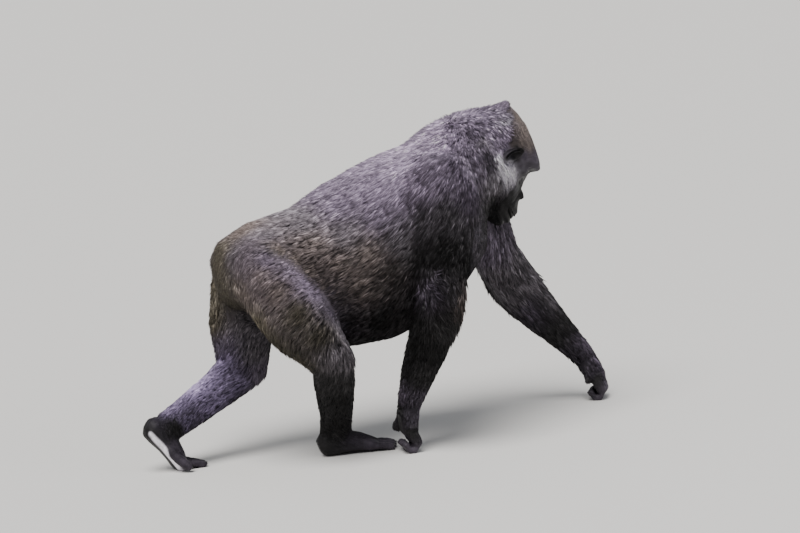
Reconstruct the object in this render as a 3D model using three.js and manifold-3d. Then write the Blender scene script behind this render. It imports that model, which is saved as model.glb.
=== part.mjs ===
// A life-size female western lowland gorilla, knuckle-walking, as a still museum model.
// Millimetres. +X is the way the animal walks, +Y its left side, +Z up, and the floor is Z = 0.
// The solids show the animal out to the tips of its coat. Each limb is one smooth tube that is
// set against the trunk and then parted at its joints with thin cuts.
import * as THREE from "three";
import { mergeVertices } from "three/addons/utils/BufferGeometryUtils.js";
import Module from "manifold-3d";

const wasm = await Module();
wasm.setup();

const V = (x, y, z) => new THREE.Vector3(x, y, z);
const deg = THREE.MathUtils.degToRad;

// ---------------------------------------------------------------- driving dimensions

const gap = 0.3; // clearance between touching pieces
const slack = 0.2; // how far a piece may be thinned of small facets, inside the clearance
const flat = 1.2; // depth of the flats that the soles and knuckles rest on

const hipPlace = { right: V(-362, -112, 548), left: V(-338, 112, 538) }; // joint centres
const thighLength = 295;
const shinLength = 292;
const upperArmLength = 355;
const forearmLength = 312;

// The left shoulder swings forward and down with the reaching arm.
const shoulderPlace = { right: V(188, -160, 735), left: V(344, 146, 690) };

// Each foot: the back of its heel on the floor plan, its heading, and how far the heel is raised.
const footPlace = {
  right: { x: -232, y: -50, yaw: -8, pitch: 0 },
  left: { x: -700, y: 82, yaw: 4, pitch: 53 },
};
// Each hand: where the middle knuckle rests, its heading, and how far the palm leans forward.
const handPlace = {
  right: { x: 24, y: -168, yaw: -6, lean: -2 },
  left: { x: 718, y: 102, yaw: -32, lean: 32 },
};
// The way each elbow and knee points away from the straight line between its two neighbours.
const elbowWay = { right: V(-0.1, -1, 0), left: V(-0.8, 1, -0.5) };
const kneeWay = { right: V(0.34, -0.92, 0.2), left: V(0.83, 0.22, -0.51) };

const elbowFringe = { right: 6, left: 34 }; // long hair that stands off the front of each elbow

const earPlace = V(404, 0, 771); // the point midway between the ears
const headPitch = 50; // how far the face is turned down

const colours = { coat: 0x2b2629, greyCoat: 0x4a4448, skin: 0x1d1a1c, eye: 0x2a1608 };
const materialOf = (color, roughness) => new THREE.MeshStandardMaterial({ color, roughness, metalness: 0 });
const coat = materialOf(colours.coat, 0.8);
const greyCoat = materialOf(colours.greyCoat, 0.8);
const skin = materialOf(colours.skin, 0.55);
const eyeball = materialOf(colours.eye, 0.15);

// ---------------------------------------------------------------- solids and cuts

// A closed geometry as a solid, with its faces turned outwards.
function solidOf(geometry) {
  const bare = new THREE.BufferGeometry();
  bare.setAttribute("position", geometry.getAttribute("position"));
  bare.setIndex(geometry.index);
  const merged = mergeVertices(bare, 1e-4);
  const made = new wasm.Manifold(
    new wasm.Mesh({
      numProp: 3,
      vertProperties: new Float32Array(merged.attributes.position.array),
      triVerts: new Uint32Array(merged.index.array),
    }),
  );
  if (made.volume() > 0) return made;
  const turned = merged.index.array.slice();
  for (let i = 0; i < turned.length; i += 3) [turned[i + 1], turned[i + 2]] = [turned[i + 2], turned[i + 1]];
  merged.setIndex([...turned]);
  return solidOf(merged);
}

// The largest single body of a solid: a cut can leave crumbs behind.
const largest = (solid) => solid.decompose().sort((a, b) => b.volume() - a.volume())[0];

// A solid cut in two by a plane through a point, with the gap between: [ahead of it, behind it].
function cutAt(solid, point, normal) {
  const n = normal.clone().normalize();
  const at = point.dot(n);
  return [
    largest(solid.trimByPlane([n.x, n.y, n.z], at + gap / 2)),
    largest(solid.trimByPlane([-n.x, -n.y, -n.z], -at + gap / 2)),
  ];
}

const group = new THREE.Group();
function place(name, solid, material) {
  const made = largest(largest(solid).simplify(slack)).getMesh();
  const geometry = new THREE.BufferGeometry();
  geometry.setAttribute("position", new THREE.BufferAttribute(new Float32Array(made.vertProperties), 3));
  geometry.setIndex(new THREE.BufferAttribute(new Uint32Array(made.triVerts), 1));
  geometry.computeVertexNormals();
  const mesh = new THREE.Mesh(geometry, material);
  mesh.name = name;
  group.add(mesh);
}

// ---------------------------------------------------------------- tubes along a curve

// Closes rings of points, all of one count, into a skin with a pole at each end.
function closeRings(rings) {
  const count = rings[0].length;
  const middle = (ring) => ring.reduce((sum, p) => sum.add(p), V(0, 0, 0)).divideScalar(count);
  const points = [middle(rings[0]), ...rings.flat(), middle(rings.at(-1))];
  const index = [];
  const at = (ring, i) => 1 + ring * count + (i % count);
  for (let i = 0; i < count; i++) {
    index.push(0, at(0, i + 1), at(0, i));
    for (let r = 0; r + 1 < rings.length; r++) {
      index.push(at(r, i), at(r, i + 1), at(r + 1, i + 1));
      index.push(at(r, i), at(r + 1, i + 1), at(r + 1, i));
    }
    index.push(points.length - 1, at(rings.length - 1, i), at(rings.length - 1, i + 1));
  }
  return new THREE.BufferGeometry().setFromPoints(points).setIndex(index);
}

const signedPower = (value, power) => Math.sign(value) * Math.abs(value) ** power;

// A limb or trunk: stations { at, wide, front, back } joined by smooth curves. `forward` says which
// way the front of each section looks, `square` how boxy it is, and `swell` grows it by a clearance.
function tube({ stations, forward, segments, steps, square = 2.2, swell = 0 }) {
  const line = new THREE.CatmullRomCurve3(stations.map((s) => s.at), false, "catmullrom", 0.5);
  const sizes = new THREE.CatmullRomCurve3(
    stations.map((s) => V(s.wide, s.front, s.back)), false, "catmullrom", 0.5);
  const eggs = new THREE.CatmullRomCurve3(stations.map((s) => V(s.egg ?? 0, 0, 0)), false, "catmullrom", 0.5);
  const rings = [];
  for (let step = 0; step <= steps; step++) {
    const t = step / steps;
    const centre = line.getPoint(t);
    const along = line.getTangent(t);
    const size = sizes.getPoint(t).addScalar(swell);
    const egg = eggs.getPoint(t).x;
    const side = V(0, 0, 0).crossVectors(along, forward).normalize();
    const ahead = V(0, 0, 0).crossVectors(side, along).normalize();
    if (step === 0) centre.addScaledVector(along, -swell);
    if (step === steps) centre.addScaledVector(along, swell);
    rings.push(
      Array.from({ length: segments }, (_, i) => {
        const a = (2 * Math.PI * i) / segments;
        const c = signedPower(Math.cos(a), 2 / square);
        const s = signedPower(Math.sin(a), 2 / square);
        const reach = c > 0 ? size.y : size.z;
        return centre.clone().addScaledVector(ahead, c * reach).addScaledVector(side, s * size.x * (1 - egg * c));
      }),
    );
  }
  return solidOf(closeRings(rings));
}

// The joint between two bones of known length that run from a to b, bent towards `way`.
function bend(a, b, firstLength, secondLength, way) {
  const span = b.clone().sub(a);
  const reach = span.length();
  const along = (firstLength ** 2 - secondLength ** 2 + reach ** 2) / (2 * reach);
  const off = Math.sqrt(Math.max(0, firstLength ** 2 - along ** 2));
  const axis = span.divideScalar(reach);
  const out = way.clone().addScaledVector(axis, -way.dot(axis)).normalize();
  return a.clone().addScaledVector(axis, along).addScaledVector(out, off);
}

const between = (a, b, t) => a.clone().lerp(b, t);

// ---------------------------------------------------------------- trunk and neck

// Upright sections of the trunk: [x, height of the back, height of the belly, half its width, and
// how much wider it is low down than high up].
const trunkSections = [
  [-456, 562, 508, 34, 0], [-446, 602, 474, 80, 0], [-410, 640, 446, 120, 0], [-352, 672, 412, 148, 0],
  [-280, 697, 370, 174, 0.05], [-200, 717, 322, 204, 0.1], [-100, 743, 290, 226, 0.14], [0, 778, 300, 230, 0.12],
  [90, 812, 348, 220, 0.04], [170, 846, 418, 202, -0.08], [240, 866, 498, 168, -0.16], [296, 838, 566, 118, -0.12],
  [330, 780, 630, 60, 0],
];
const waist = 0.46; // share of a section's height, from the belly up, at which the trunk is widest

const trunkStations = trunkSections.map(([x, top, bottom, wide, egg]) => {
  const centre = bottom + (top - bottom) * waist;
  return { at: V(x, 0, centre), wide, front: top - centre, back: centre - bottom, egg };
});
const trunkTube = (swell) =>
  tube({ stations: trunkStations, forward: V(0, 0, 1), segments: 22, steps: 16, square: 2.2, swell });

// The neck runs from inside the shoulders to inside the skull, with the nape's ridge of hair on top.
const neckStations = [
  { at: V(150, 0, 735), wide: 110, front: 90, back: 100 },
  { at: V(215, 0, 742), wide: 146, front: 127, back: 130 },
  { at: V(280, 0, 754), wide: 140, front: 142, back: 138 },
  { at: V(338, 0, 770), wide: 116, front: 145, back: 122 },
  { at: V(386, 0, 794), wide: 84, front: 124, back: 86 },
  { at: V(412, 0, 800), wide: 48, front: 78, back: 46 },
];
const neckTube = (swell) =>
  tube({ stations: neckStations, forward: V(0, 0, 1), segments: 18, steps: 7, square: 2.1, swell });

// ---------------------------------------------------------------- head

// The head is a stack of slices from the chin up, in its own frame: f forward out of the face,
// u up the face, and the ears at f = 0, u = 0. Each slice: [u, front, back, half width, squareness].
// The forehead slopes straight back from the brow bar to the crest.
const headSlices = [
  [-160, 110, 48, 26, 2.0], [-154, 129, 24, 40, 1.95], [-142, 143, 2, 52, 1.85], [-130, 149, -18, 60, 1.75],
  [-118, 154, -34, 66, 1.65], [-108, 155, -46, 70, 1.6], [-99, 153, -56, 73, 1.6], [-90, 153, -65, 76, 1.6],
  [-78, 148, -76, 79, 1.6], [-66, 142, -86, 81, 1.65], [-55, 136, -94, 83, 1.7], [-43, 129, -101, 85, 1.75],
  [-28, 117, -109, 86, 1.85], [-10, 108, -117, 87, 2.05], [4, 105, -121, 88, 2.2], [18, 106, -124, 88, 2.3],
  [31, 112, -125, 88, 2.4], [42, 114, -125, 87, 2.4], [53, 107, -124, 85, 2.35], [68, 83, -121, 79, 2.2],
  [86, 48, -113, 66, 2.05], [101, 12, -104, 50, 2.0], [112, -34, -94, 26, 2.0],
];
// Forms raised (+) or sunk (-) on the face: { y, u } centre, { ry, ru } reach, rise. They come in pairs.
const faceForms = [
  { name: "eye socket", y: 33, u: 13, ry: 19, ru: 13, rise: -16 },
  { name: "brow bar", y: 36, u: 42, ry: 26, ru: 11, rise: 5 },
  { name: "bridge of the nose", y: 0, u: 0, ry: 11, ru: 22, rise: 4 },
  { name: "hollow beside the nose", y: 39, u: -27, ry: 16, ru: 20, rise: -14 },
  { name: "cheek bone", y: 64, u: 2, ry: 16, ru: 14, rise: 8 },
  { name: "tip of the nose", y: 0, u: -40, ry: 13, ru: 11, rise: 6 },
  { name: "wing of the nostril", y: 21, u: -44, ry: 11, ru: 13, rise: 12 },
  { name: "nostril", y: 12, u: -55, ry: 8, ru: 6, rise: -9 },
  { name: "upper lip", y: 28, u: -84, ry: 28, ru: 14, rise: 5 },
  { name: "line of the mouth", y: 0, u: -99, ry: 54, ru: 5, rise: -6 },
  { name: "lower lip", y: 14, u: -111, ry: 26, ru: 9, rise: 3 },
  { name: "hollow over the chin", y: 0, u: -127, ry: 26, ru: 7, rise: -4 },
];
const faceRise = (y, u) =>
  faceForms.reduce((sum, form) => {
    const away = ((Math.abs(y) - form.y) / form.ry) ** 2 + ((u - form.u) / form.ru) ** 2;
    return sum + form.rise * Math.exp(-away);
  }, 0);

const headFrame = new THREE.Matrix4().makeRotationY(deg(headPitch)).setPosition(earPlace);
const inHead = (f, y, u) => V(f, y, u).applyMatrix4(headFrame);
const headSegments = 30;
const headMiddle = 0.42; // share of a slice's length, from the back, at which it is widest

function headSolid(swell) {
  const rings = headSlices.map(([u, front, back, wide, square], slice) => {
    const middle = back + (front - back) * headMiddle;
    const lift = slice === 0 ? -swell : slice === headSlices.length - 1 ? swell : 0;
    return Array.from({ length: headSegments }, (_, i) => {
      const turn = (2 * Math.PI * i) / headSegments;
      const a = turn - 0.45 * Math.sin(turn); // closer points on the face
      const power = 2 / (Math.cos(a) > 0 ? square : 2.2);
      const c = signedPower(Math.cos(a), power);
      const y = signedPower(Math.sin(a), power) * (wide + swell);
      const reach = c > 0 ? front - middle : middle - back;
      const rise = c > 0 ? faceRise(y, u) * Math.min(1, 2.5 * c) : 0;
      return inHead(middle + c * (reach + swell) + rise, y, u + lift);
    });
  });
  return solidOf(closeRings(rings));
}

const eyeRadius = 12;
const eyePlace = { f: 78, y: 33, u: 13 };
const ball = (centre, radius, rows) => {
  const sphere = new THREE.SphereGeometry(radius, rows * 2, rows);
  sphere.translate(centre.x, centre.y, centre.z);
  return solidOf(closeSphere(sphere));
};
// Sphere geometry with its seam and poles merged into one closed skin.
function closeSphere(sphere) {
  const bare = new THREE.BufferGeometry();
  bare.setAttribute("position", sphere.getAttribute("position"));
  bare.setIndex(sphere.index);
  const merged = mergeVertices(bare, 1e-3);
  const kept = [];
  for (let i = 0; i < merged.index.count; i += 3) {
    const [a, b, c] = merged.index.array.slice(i, i + 3);
    if (a !== b && b !== c && a !== c) kept.push(a, b, c);
  }
  return merged.setIndex(kept);
}

// A small rounded ear: a tilted oval shell with a scooped hollow that opens forwards and outwards.
const earSize = { tall: 30, deep: 18, thick: 8, out: 91, f: -2, u: 4 };
function oval(matrix, rx, ry, rz) {
  const sphere = new THREE.SphereGeometry(1, 10, 5);
  sphere.scale(rx, ry, rz);
  sphere.applyMatrix4(matrix);
  return solidOf(closeSphere(sphere));
}
function earSolid(side) {
  const { tall, deep, thick, out, f, u } = earSize;
  const lean = new THREE.Matrix4()
    .multiply(headFrame)
    .multiply(new THREE.Matrix4().makeTranslation(f, side * out, u))
    .multiply(new THREE.Matrix4().makeRotationZ(side * deg(-24)))
    .multiply(new THREE.Matrix4().makeRotationX(side * deg(-8)));
  const shell = oval(lean, deep, thick, tall);
  const hollow = lean.clone().multiply(new THREE.Matrix4().makeTranslation(3, side * thick, -1));
  return shell.subtract(oval(hollow, deep * 0.66, thick * 0.9, tall * 0.7));
}

// ---------------------------------------------------------------- hands

const handSize = { palm: 74, halfPalm: 38, halfWrist: 31, finger: 62, middle: 34, tip: 20, radius: 10.2, pitch: 20.2 };
const knuckleHeight = handSize.radius - flat; // height of the bent knuckle's centre
const palmHeight = 66; // height of the finger roots

// The points of one hand, from its place on the floor. `across` runs from the thumb outwards.
function handPoints(side) {
  const { x, y, yaw, lean } = handPlace[side];
  const out = side === "left" ? 1 : -1;
  const ahead = V(Math.cos(deg(yaw)), Math.sin(deg(yaw)), 0);
  const across = V(-ahead.y, ahead.x, 0).multiplyScalar(out);
  const knuckle = V(x, y, knuckleHeight);
  const rise = palmHeight - knuckleHeight;
  const root = knuckle.clone().addScaledVector(ahead, -Math.sqrt(handSize.finger ** 2 - rise ** 2));
  root.z = palmHeight;
  const up = ahead.clone().multiplyScalar(-Math.sin(deg(lean))).setZ(Math.cos(deg(lean)));
  const wrist = root.clone().addScaledVector(up, handSize.palm).addScaledVector(ahead, 6);
  return { ahead, across, knuckle, root, wrist };
}

// One finger: its root in the palm, the raised knuckle, the bent knuckle on the floor, and the
// tucked tip. `shift` is its place across the hand, and `scale` its length.
function finger({ ahead, across, root, knuckle }, shift, scale) {
  const r = handSize.radius;
  const base = between(root, knuckle, 1 - scale).addScaledVector(across, shift);
  const high = base.clone().addScaledVector(ahead, -4).add(V(0, 0, 14));
  const bent = knuckle.clone().addScaledVector(across, shift).addScaledVector(ahead, (scale - 1) * 40);
  const far = bent.clone().addScaledVector(ahead, -handSize.middle * scale);
  const tip = far.clone().addScaledVector(ahead, -handSize.tip * 0.45).add(V(0, 0, handSize.tip * 0.9));
  const station = (at, k) => ({ at, wide: r * k * 0.94, front: r * k, back: r * k });
  const stations = [
    station(high, 0.75), station(base, 1), station(between(base, bent, 0.5), 0.95), station(bent, 1.04),
    station(between(bent, far, 0.55), 1.0), station(far, 0.95), station(tip, 0.72),
  ];
  return { stations, side: across };
}

// A tube whose sections keep one fixed side direction, for parts that curl right round.
function curl({ stations, side, segments, steps, swell = 0 }) {
  const line = new THREE.CatmullRomCurve3(stations.map((s) => s.at), false, "catmullrom", 0.5);
  const sizes = new THREE.CatmullRomCurve3(
    stations.map((s) => V(s.wide, s.front, s.back)), false, "catmullrom", 0.5);
  const rings = [];
  for (let step = 0; step <= steps; step++) {
    const t = step / steps;
    const along = line.getTangent(t);
    const size = sizes.getPoint(t).addScalar(swell);
    const ahead = V(0, 0, 0).crossVectors(side, along).normalize();
    const across = V(0, 0, 0).crossVectors(along, ahead).normalize();
    const end = step === 0 ? -swell : step === steps ? swell : 0;
    const centre = line.getPoint(t).addScaledVector(along, end);
    rings.push(
      Array.from({ length: segments }, (_, i) => {
        const a = (2 * Math.PI * i) / segments;
        const reach = Math.cos(a) > 0 ? size.y : size.z;
        return centre.clone().addScaledVector(ahead, Math.cos(a) * reach).addScaledVector(across, Math.sin(a) * size.x);
      }),
    );
  }
  return solidOf(closeRings(rings));
}

// Fingers from the index (nearest the midline) to the little finger.
const fingers = [
  { name: "index", place: -1.5, scale: 0.95 }, { name: "middle", place: -0.5, scale: 1 },
  { name: "ring", place: 0.5, scale: 0.97 }, { name: "little", place: 1.5, scale: 0.86 },
];

// ---------------------------------------------------------------- arms

// Sections of the arm, as shares of the bone that they lie on.
function armStations(side) {
  const out = side === "left" ? 1 : -1;
  const shoulder = shoulderPlace[side];
  const { wrist, root, knuckle } = handPoints(side);
  const elbow = bend(shoulder, wrist, upperArmLength, forearmLength, elbowWay[side]);
  const fringe = elbowFringe[side];
  const station = (a, b, t, wide, front, back) => ({ at: between(a, b, t), wide, front, back });
  return {
    elbow,
    wrist,
    stations: [
      { at: shoulder.clone().add(V(-24, -out * 75, 30)), wide: 60, front: 55, back: 65 },
      { at: shoulder.clone().add(V(-6, -out * 20, 16)), wide: 80, front: 80, back: 92 },
      station(shoulder, elbow, 0.1, 80, 92, 102),
      station(shoulder, elbow, 0.34, 74, 84, 88),
      station(shoulder, elbow, 0.62, 66, 72, 76),
      station(shoulder, elbow, 0.86, 62, 70 + fringe / 2, 68),
      { at: elbow.clone(), wide: 61, front: 70 + fringe, back: 66 },
      station(elbow, wrist, 0.2, 58, 68 + fringe / 2, 64),
      station(elbow, wrist, 0.5, 51, 61, 58),
      station(elbow, wrist, 0.78, 44, 50, 48),
      station(elbow, wrist, 0.97, 40, 41, 40),
      { at: between(wrist, root, 0.3), wide: 39, front: 28, back: 28 },
      { at: between(wrist, root, 0.7), wide: 42, front: 24, back: 23 },
      { at: between(wrist, root, 1.02), wide: 41, front: 20, back: 18 },
      { at: between(root, knuckle, 0.2), wide: 39, front: 14, back: 14 },
    ],
  };
}

// ---------------------------------------------------------------- legs and feet

const footSize = { heelToBall: 166, ankleAhead: 58, ankleHeight: 78, toes: 70 };

// The frame of a foot: its sole is the plane n = 0, s runs from heel to toes, y to the animal's left.
function footFrame(side) {
  const { x, y, yaw, pitch } = footPlace[side];
  const frame = new THREE.Matrix4().makeRotationZ(deg(yaw)).multiply(new THREE.Matrix4().makeRotationY(deg(pitch)));
  const raised = Math.sin(deg(pitch)) * (footSize.heelToBall - 12) + (pitch ? ballDrop : 0);
  return frame.setPosition(V(x, y, raised));
}
const ballDrop = 3; // the bent ball of a raised foot stands a little off its own sole plane

function legStations(side) {
  const out = side === "left" ? 1 : -1;
  const hip = hipPlace[side];
  const ankle = V(footSize.ankleAhead, 0, footSize.ankleHeight).applyMatrix4(footFrame(side));
  const knee = bend(hip, ankle, thighLength, shinLength, kneeWay[side]);
  const heel = V(footSize.ankleAhead, 0, 30).applyMatrix4(footFrame(side));
  const station = (a, b, t, wide, front, back) => ({ at: between(a, b, t), wide, front, back });
  return {
    hip,
    knee,
    ankle,
    thigh: [
      { at: hip.clone().add(V(14, -out * 66, 40)), wide: 62, front: 56, back: 50 },
      { at: hip.clone().add(V(4, -out * 5, 12)), wide: 95, front: 98, back: 80 },
      station(hip, knee, 0.22, 92, 90, 108),
      station(hip, knee, 0.5, 86, 72, 120),
      station(hip, knee, 0.8, 73, 58, 104),
      station(hip, knee, 1, 62, 50, 76),
      station(hip, knee, 1.13, 34, 26, 44),
    ],
    shin: [
      station(knee, ankle, -0.11, 40, 34, 44),
      station(knee, ankle, 0, 59, 50, 70),
      station(knee, ankle, 0.2, 58, 52, 74),
      station(knee, ankle, 0.5, 53, 53, 62),
      station(knee, ankle, 0.8, 48, 50, 52),
      { at: ankle.clone(), wide: 43, front: 44, back: 46 },
      station(ankle, heel, 1, 34, 34, 36),
    ],
  };
}

// The foot's sole part, from the back of the heel to the ball, in its own frame.
function footStations(side) {
  const frame = footFrame(side);
  const at = (s, y, n) => V(s, y, n).applyMatrix4(frame);
  const inward = side === "left" ? -1 : 1;
  return [
    { at: at(4, 0, 30), wide: 16, front: 17, back: 18 },
    { at: at(18, 0, 34), wide: 31, front: 33, back: 34 + flat },
    { at: at(48, 0, 36), wide: 36, front: 38, back: 36 + flat },
    { at: at(88, inward * 2, 32), wide: 38, front: 34, back: 30 },
    { at: at(126, inward * 5, 25), wide: 43, front: 27, back: 24 },
    { at: at(154, inward * 4, 19), wide: 45, front: 19, back: 19 + flat },
    { at: at(172, inward * 1, 17), wide: 38, front: 12, back: 15 },
  ];
}

// Toes from the second (nearest the midline) to the fifth, then the thumb-like big toe.
const toes = [
  { name: "toe_2", place: 1.5, length: 66 }, { name: "toe_3", place: 0.5, length: 68 },
  { name: "toe_4", place: -0.5, length: 63 }, { name: "toe_5", place: -1.5, length: 54 },
];
const toeRadius = 10.4;
const toePitch = 20.2;

// A toe lies on the floor from the ball of the foot, whatever the foot's own tilt.
function toeStations(side, place, length) {
  const { yaw } = footPlace[side];
  const inward = side === "left" ? -1 : 1;
  const frame = footFrame(side);
  const root = V(158, inward * place * toePitch, 17).applyMatrix4(frame);
  root.z = Math.max(root.z, toeRadius - flat);
  const fan = deg(yaw) + inward * place * deg(3.5);
  const ahead = V(Math.cos(fan), Math.sin(fan), 0);
  const low = toeRadius - flat;
  const reach = (d, z) => V(root.x + ahead.x * d, root.y + ahead.y * d, z);
  const station = (at, k) => ({ at, wide: toeRadius * k * 0.95, front: toeRadius * k, back: toeRadius * k });
  return [
    station(root, 0.85), station(reach(length * 0.3, low + 6), 1), station(reach(length * 0.58, low + 5), 0.97),
    station(reach(length * 0.85, low), 1), station(reach(length * 1.02, low - 2.5), 0.66),
  ];
}

function bigToeStations(side) {
  const frame = footFrame(side);
  const inward = side === "left" ? -1 : 1;
  const raised = footPlace[side].pitch > 0;
  const at = (s, y, n) => V(s, inward * y, n).applyMatrix4(frame);
  const r = 15;
  const station = (point, k) => ({ at: point, wide: r * k, front: r * k * 0.9, back: r * k * 0.9 });
  const tip = raised ? [at(132, 56, 20), at(150, 66, 22), at(163, 72, 24)] : [at(132, 58, 14), at(156, 70, 12.5), at(172, 77, 11)];
  return [station(at(84, 26, 24), 0.9), station(at(108, 42, 19), 1.08), station(tip[0], 1), station(tip[1], 0.96), station(tip[2], 0.62)];
}

// ---------------------------------------------------------------- putting it together

const trunkGrown = trunkTube(gap);
const torsoGrown = trunkGrown.add(neckTube(gap)).add(headSolid(gap));

const atLoins = cutAt(trunkTube(0), V(-250, 0, 0), V(1, 0, -0.12));
const atRibs = cutAt(atLoins[0], V(75, 0, 0), V(1, 0, 0.1));
const atSkull = cutAt(neckTube(0).add(headSolid(0)), V(345, 0, 790), V(0.95, 0, -0.31));
place("rump", atLoins[1], coat);
place("belly", atRibs[1], coat);
place("chest", atRibs[0], greyCoat);
place("neck", atSkull[1].subtract(trunkGrown), greyCoat);

const eyeCentre = (out) => inHead(eyePlace.f, out * eyePlace.y, eyePlace.u);
let head = atSkull[0].subtract(trunkGrown);
for (const [side, out] of [["left", 1], ["right", -1]]) {
  place(`eye_${side}`, ball(eyeCentre(out), eyeRadius, 5), eyeball);
  head = head.subtract(ball(eyeCentre(out), eyeRadius + gap, 5));
  place(`ear_${side}`, earSolid(out).subtract(torsoGrown), skin);
}
place("head", head, coat);

for (const side of ["left", "right"]) {
  const out = side === "left" ? 1 : -1;
  const hand = handPoints(side);
  const floor = (solid) => solid.trimByPlane([0, 0, 1], 0);

  const arm = armStations(side);
  const armTube = (swell) =>
    tube({ stations: arm.stations, forward: hand.ahead, segments: 12, steps: 15, square: 2.1, swell });
  const armClear = armTube(0).subtract(torsoGrown);
  const upperWay = arm.elbow.clone().sub(shoulderPlace[side]).normalize();
  const foreWay = arm.wrist.clone().sub(arm.elbow).normalize();
  const atElbow = cutAt(largest(armClear), arm.elbow, upperWay.clone().add(foreWay));
  const atWrist = cutAt(atElbow[0], arm.wrist, foreWay);
  place(`upper_arm_${side}`, atElbow[1], coat);
  place(`forearm_${side}`, atWrist[1], coat);
  place(`hand_${side}`, atWrist[0], skin);
  const palmGrown = armTube(gap);
  for (const { name, place: slot, scale } of fingers) {
    const digit = finger(hand, slot * handSize.pitch, scale);
    const made = curl({ ...digit, segments: 7, steps: 5 });
    place(`finger_${name}_${side}`, largest(floor(made.subtract(palmGrown))), skin);
  }
  const { wrist, root, ahead, across } = hand;
  const thumbAt = (t, side, back) =>
    between(wrist, root, t).addScaledVector(across, -side).addScaledVector(ahead, -back);
  const thumbStation = (at, k) => ({ at, wide: 11 * k, front: 11 * k, back: 11 * k });
  const thumb = curl({
    stations: [
      thumbStation(thumbAt(0.15, 22, 4), 0.9), thumbStation(thumbAt(0.45, 38, 10), 1.05),
      thumbStation(thumbAt(0.8, 45, 16), 0.9), thumbStation(thumbAt(1.1, 45, 22), 0.62),
    ],
    side: across, segments: 6, steps: 4,
  });
  place(`thumb_${side}`, largest(thumb.subtract(palmGrown)), skin);

  const leg = legStations(side);
  const toeWay = V(Math.cos(deg(footPlace[side].yaw)), Math.sin(deg(footPlace[side].yaw)), 0);
  const legTube = (stations, steps) => tube({ stations, forward: toeWay, segments: 14, steps, square: 2.15 });
  const soleWay = V(0, 0, 1).transformDirection(footFrame(side));
  const footTube = (swell) =>
    tube({ stations: footStations(side), forward: soleWay, segments: 12, steps: 6, square: 2.3, swell });
  const thighClear = largest(legTube(leg.thigh, 8).subtract(torsoGrown));
  const whole = thighClear.add(legTube(leg.shin, 6)).add(footTube(0));
  const shinWay = leg.ankle.clone().sub(leg.knee).normalize();
  const thighWay = leg.knee.clone().sub(leg.hip).normalize();
  const atKnee = cutAt(whole, leg.knee, thighWay.clone().add(shinWay));
  const atAnkle = cutAt(atKnee[0], leg.ankle, shinWay);
  place(`thigh_${side}`, atKnee[1], coat);
  place(`shin_${side}`, atAnkle[1], coat);
  place(`foot_${side}`, floor(atAnkle[0]), skin);
  const footGrown = footTube(gap);
  for (const { name, place: slot, length } of toes) {
    const made = curl({ stations: toeStations(side, slot, length), side: V(-toeWay.y, toeWay.x, 0), segments: 6, steps: 5 });
    place(`${name}_${side}`, largest(floor(made.subtract(footGrown))), skin);
  }
  const bigToe = curl({ stations: bigToeStations(side), side: V(-toeWay.y, toeWay.x, 0), segments: 8, steps: 5 });
  place(`toe_big_${side}`, largest(floor(bigToe.subtract(footGrown))), skin);
}

// The origin is at the middle of the model's plan, on the floor.
const box = new THREE.Box3().setFromObject(group);
group.position.set(-(box.min.x + box.max.x) / 2, -(box.min.y + box.max.y) / 2, 0);

export default group;
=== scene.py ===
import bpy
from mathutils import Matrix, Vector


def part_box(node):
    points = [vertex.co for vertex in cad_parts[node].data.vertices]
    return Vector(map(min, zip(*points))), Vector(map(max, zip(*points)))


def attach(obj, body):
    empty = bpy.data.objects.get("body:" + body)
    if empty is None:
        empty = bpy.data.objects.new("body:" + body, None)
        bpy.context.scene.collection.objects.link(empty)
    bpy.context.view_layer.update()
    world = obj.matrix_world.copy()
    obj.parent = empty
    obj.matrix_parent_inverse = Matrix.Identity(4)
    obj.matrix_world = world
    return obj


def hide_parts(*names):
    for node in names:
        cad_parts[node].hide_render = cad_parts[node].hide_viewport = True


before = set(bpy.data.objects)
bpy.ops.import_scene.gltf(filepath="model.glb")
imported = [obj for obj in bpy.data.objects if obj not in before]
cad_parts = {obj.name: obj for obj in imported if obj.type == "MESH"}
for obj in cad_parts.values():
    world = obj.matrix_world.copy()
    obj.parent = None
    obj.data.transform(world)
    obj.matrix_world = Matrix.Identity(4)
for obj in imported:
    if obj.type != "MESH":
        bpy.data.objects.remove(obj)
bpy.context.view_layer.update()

import math
import time

import bmesh
import bpy
import numpy as np
from mathutils import Matrix, Vector

began = time.time()


def report(words):
    print(f"{time.time() - began:6.1f} s  {words}")


# small helpers

def unit(rows):
    # every row divided by its own length
    return rows / np.maximum(np.linalg.norm(rows, axis=-1, keepdims=True), 1e-9)


def smoothStep(low, high, x):
    # 0 below low, 1 above high, and 3t^2 - 2t^3 between
    t = np.clip((x - low) / (high - low), 0, 1)
    return t * t * (3 - 2 * t)


def softSpot(x, y, reachX, reachY):
    # a round bump: e to the power of minus the squared distance in reaches
    return np.exp(-(x / reachX) ** 2 - (y / reachY) ** 2)


def meshFrom(name, points, corners, sizes, smooth=True):
    # puts arrays of points and of face corners into a new mesh object
    mesh = bpy.data.meshes.new(name)
    mesh.vertices.add(len(points))
    mesh.vertices.foreach_set("co", np.ascontiguousarray(points, np.float32).ravel())
    mesh.loops.add(len(corners))
    mesh.loops.foreach_set("vertex_index", corners.astype(np.int32))
    mesh.polygons.add(len(sizes))
    starts = np.concatenate([[0], np.cumsum(sizes)[:-1]]).astype(np.int32)
    mesh.polygons.foreach_set("loop_start", starts)
    mesh.update(calc_edges=True)
    mesh.validate()
    if smooth:
        mesh.shade_smooth()
    thing = bpy.data.objects.new(name, mesh)
    bpy.context.scene.collection.objects.link(thing)
    return thing


def setColours(thing, name, colours):
    # one colour for each vertex, kept as an attribute that the materials read
    layer = thing.data.attributes.new(name, "FLOAT_COLOR", "POINT")
    full = np.ones((len(colours), 4), np.float32)
    full[:, : colours.shape[1]] = colours
    layer.data.foreach_set("color", full.ravel())


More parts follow.
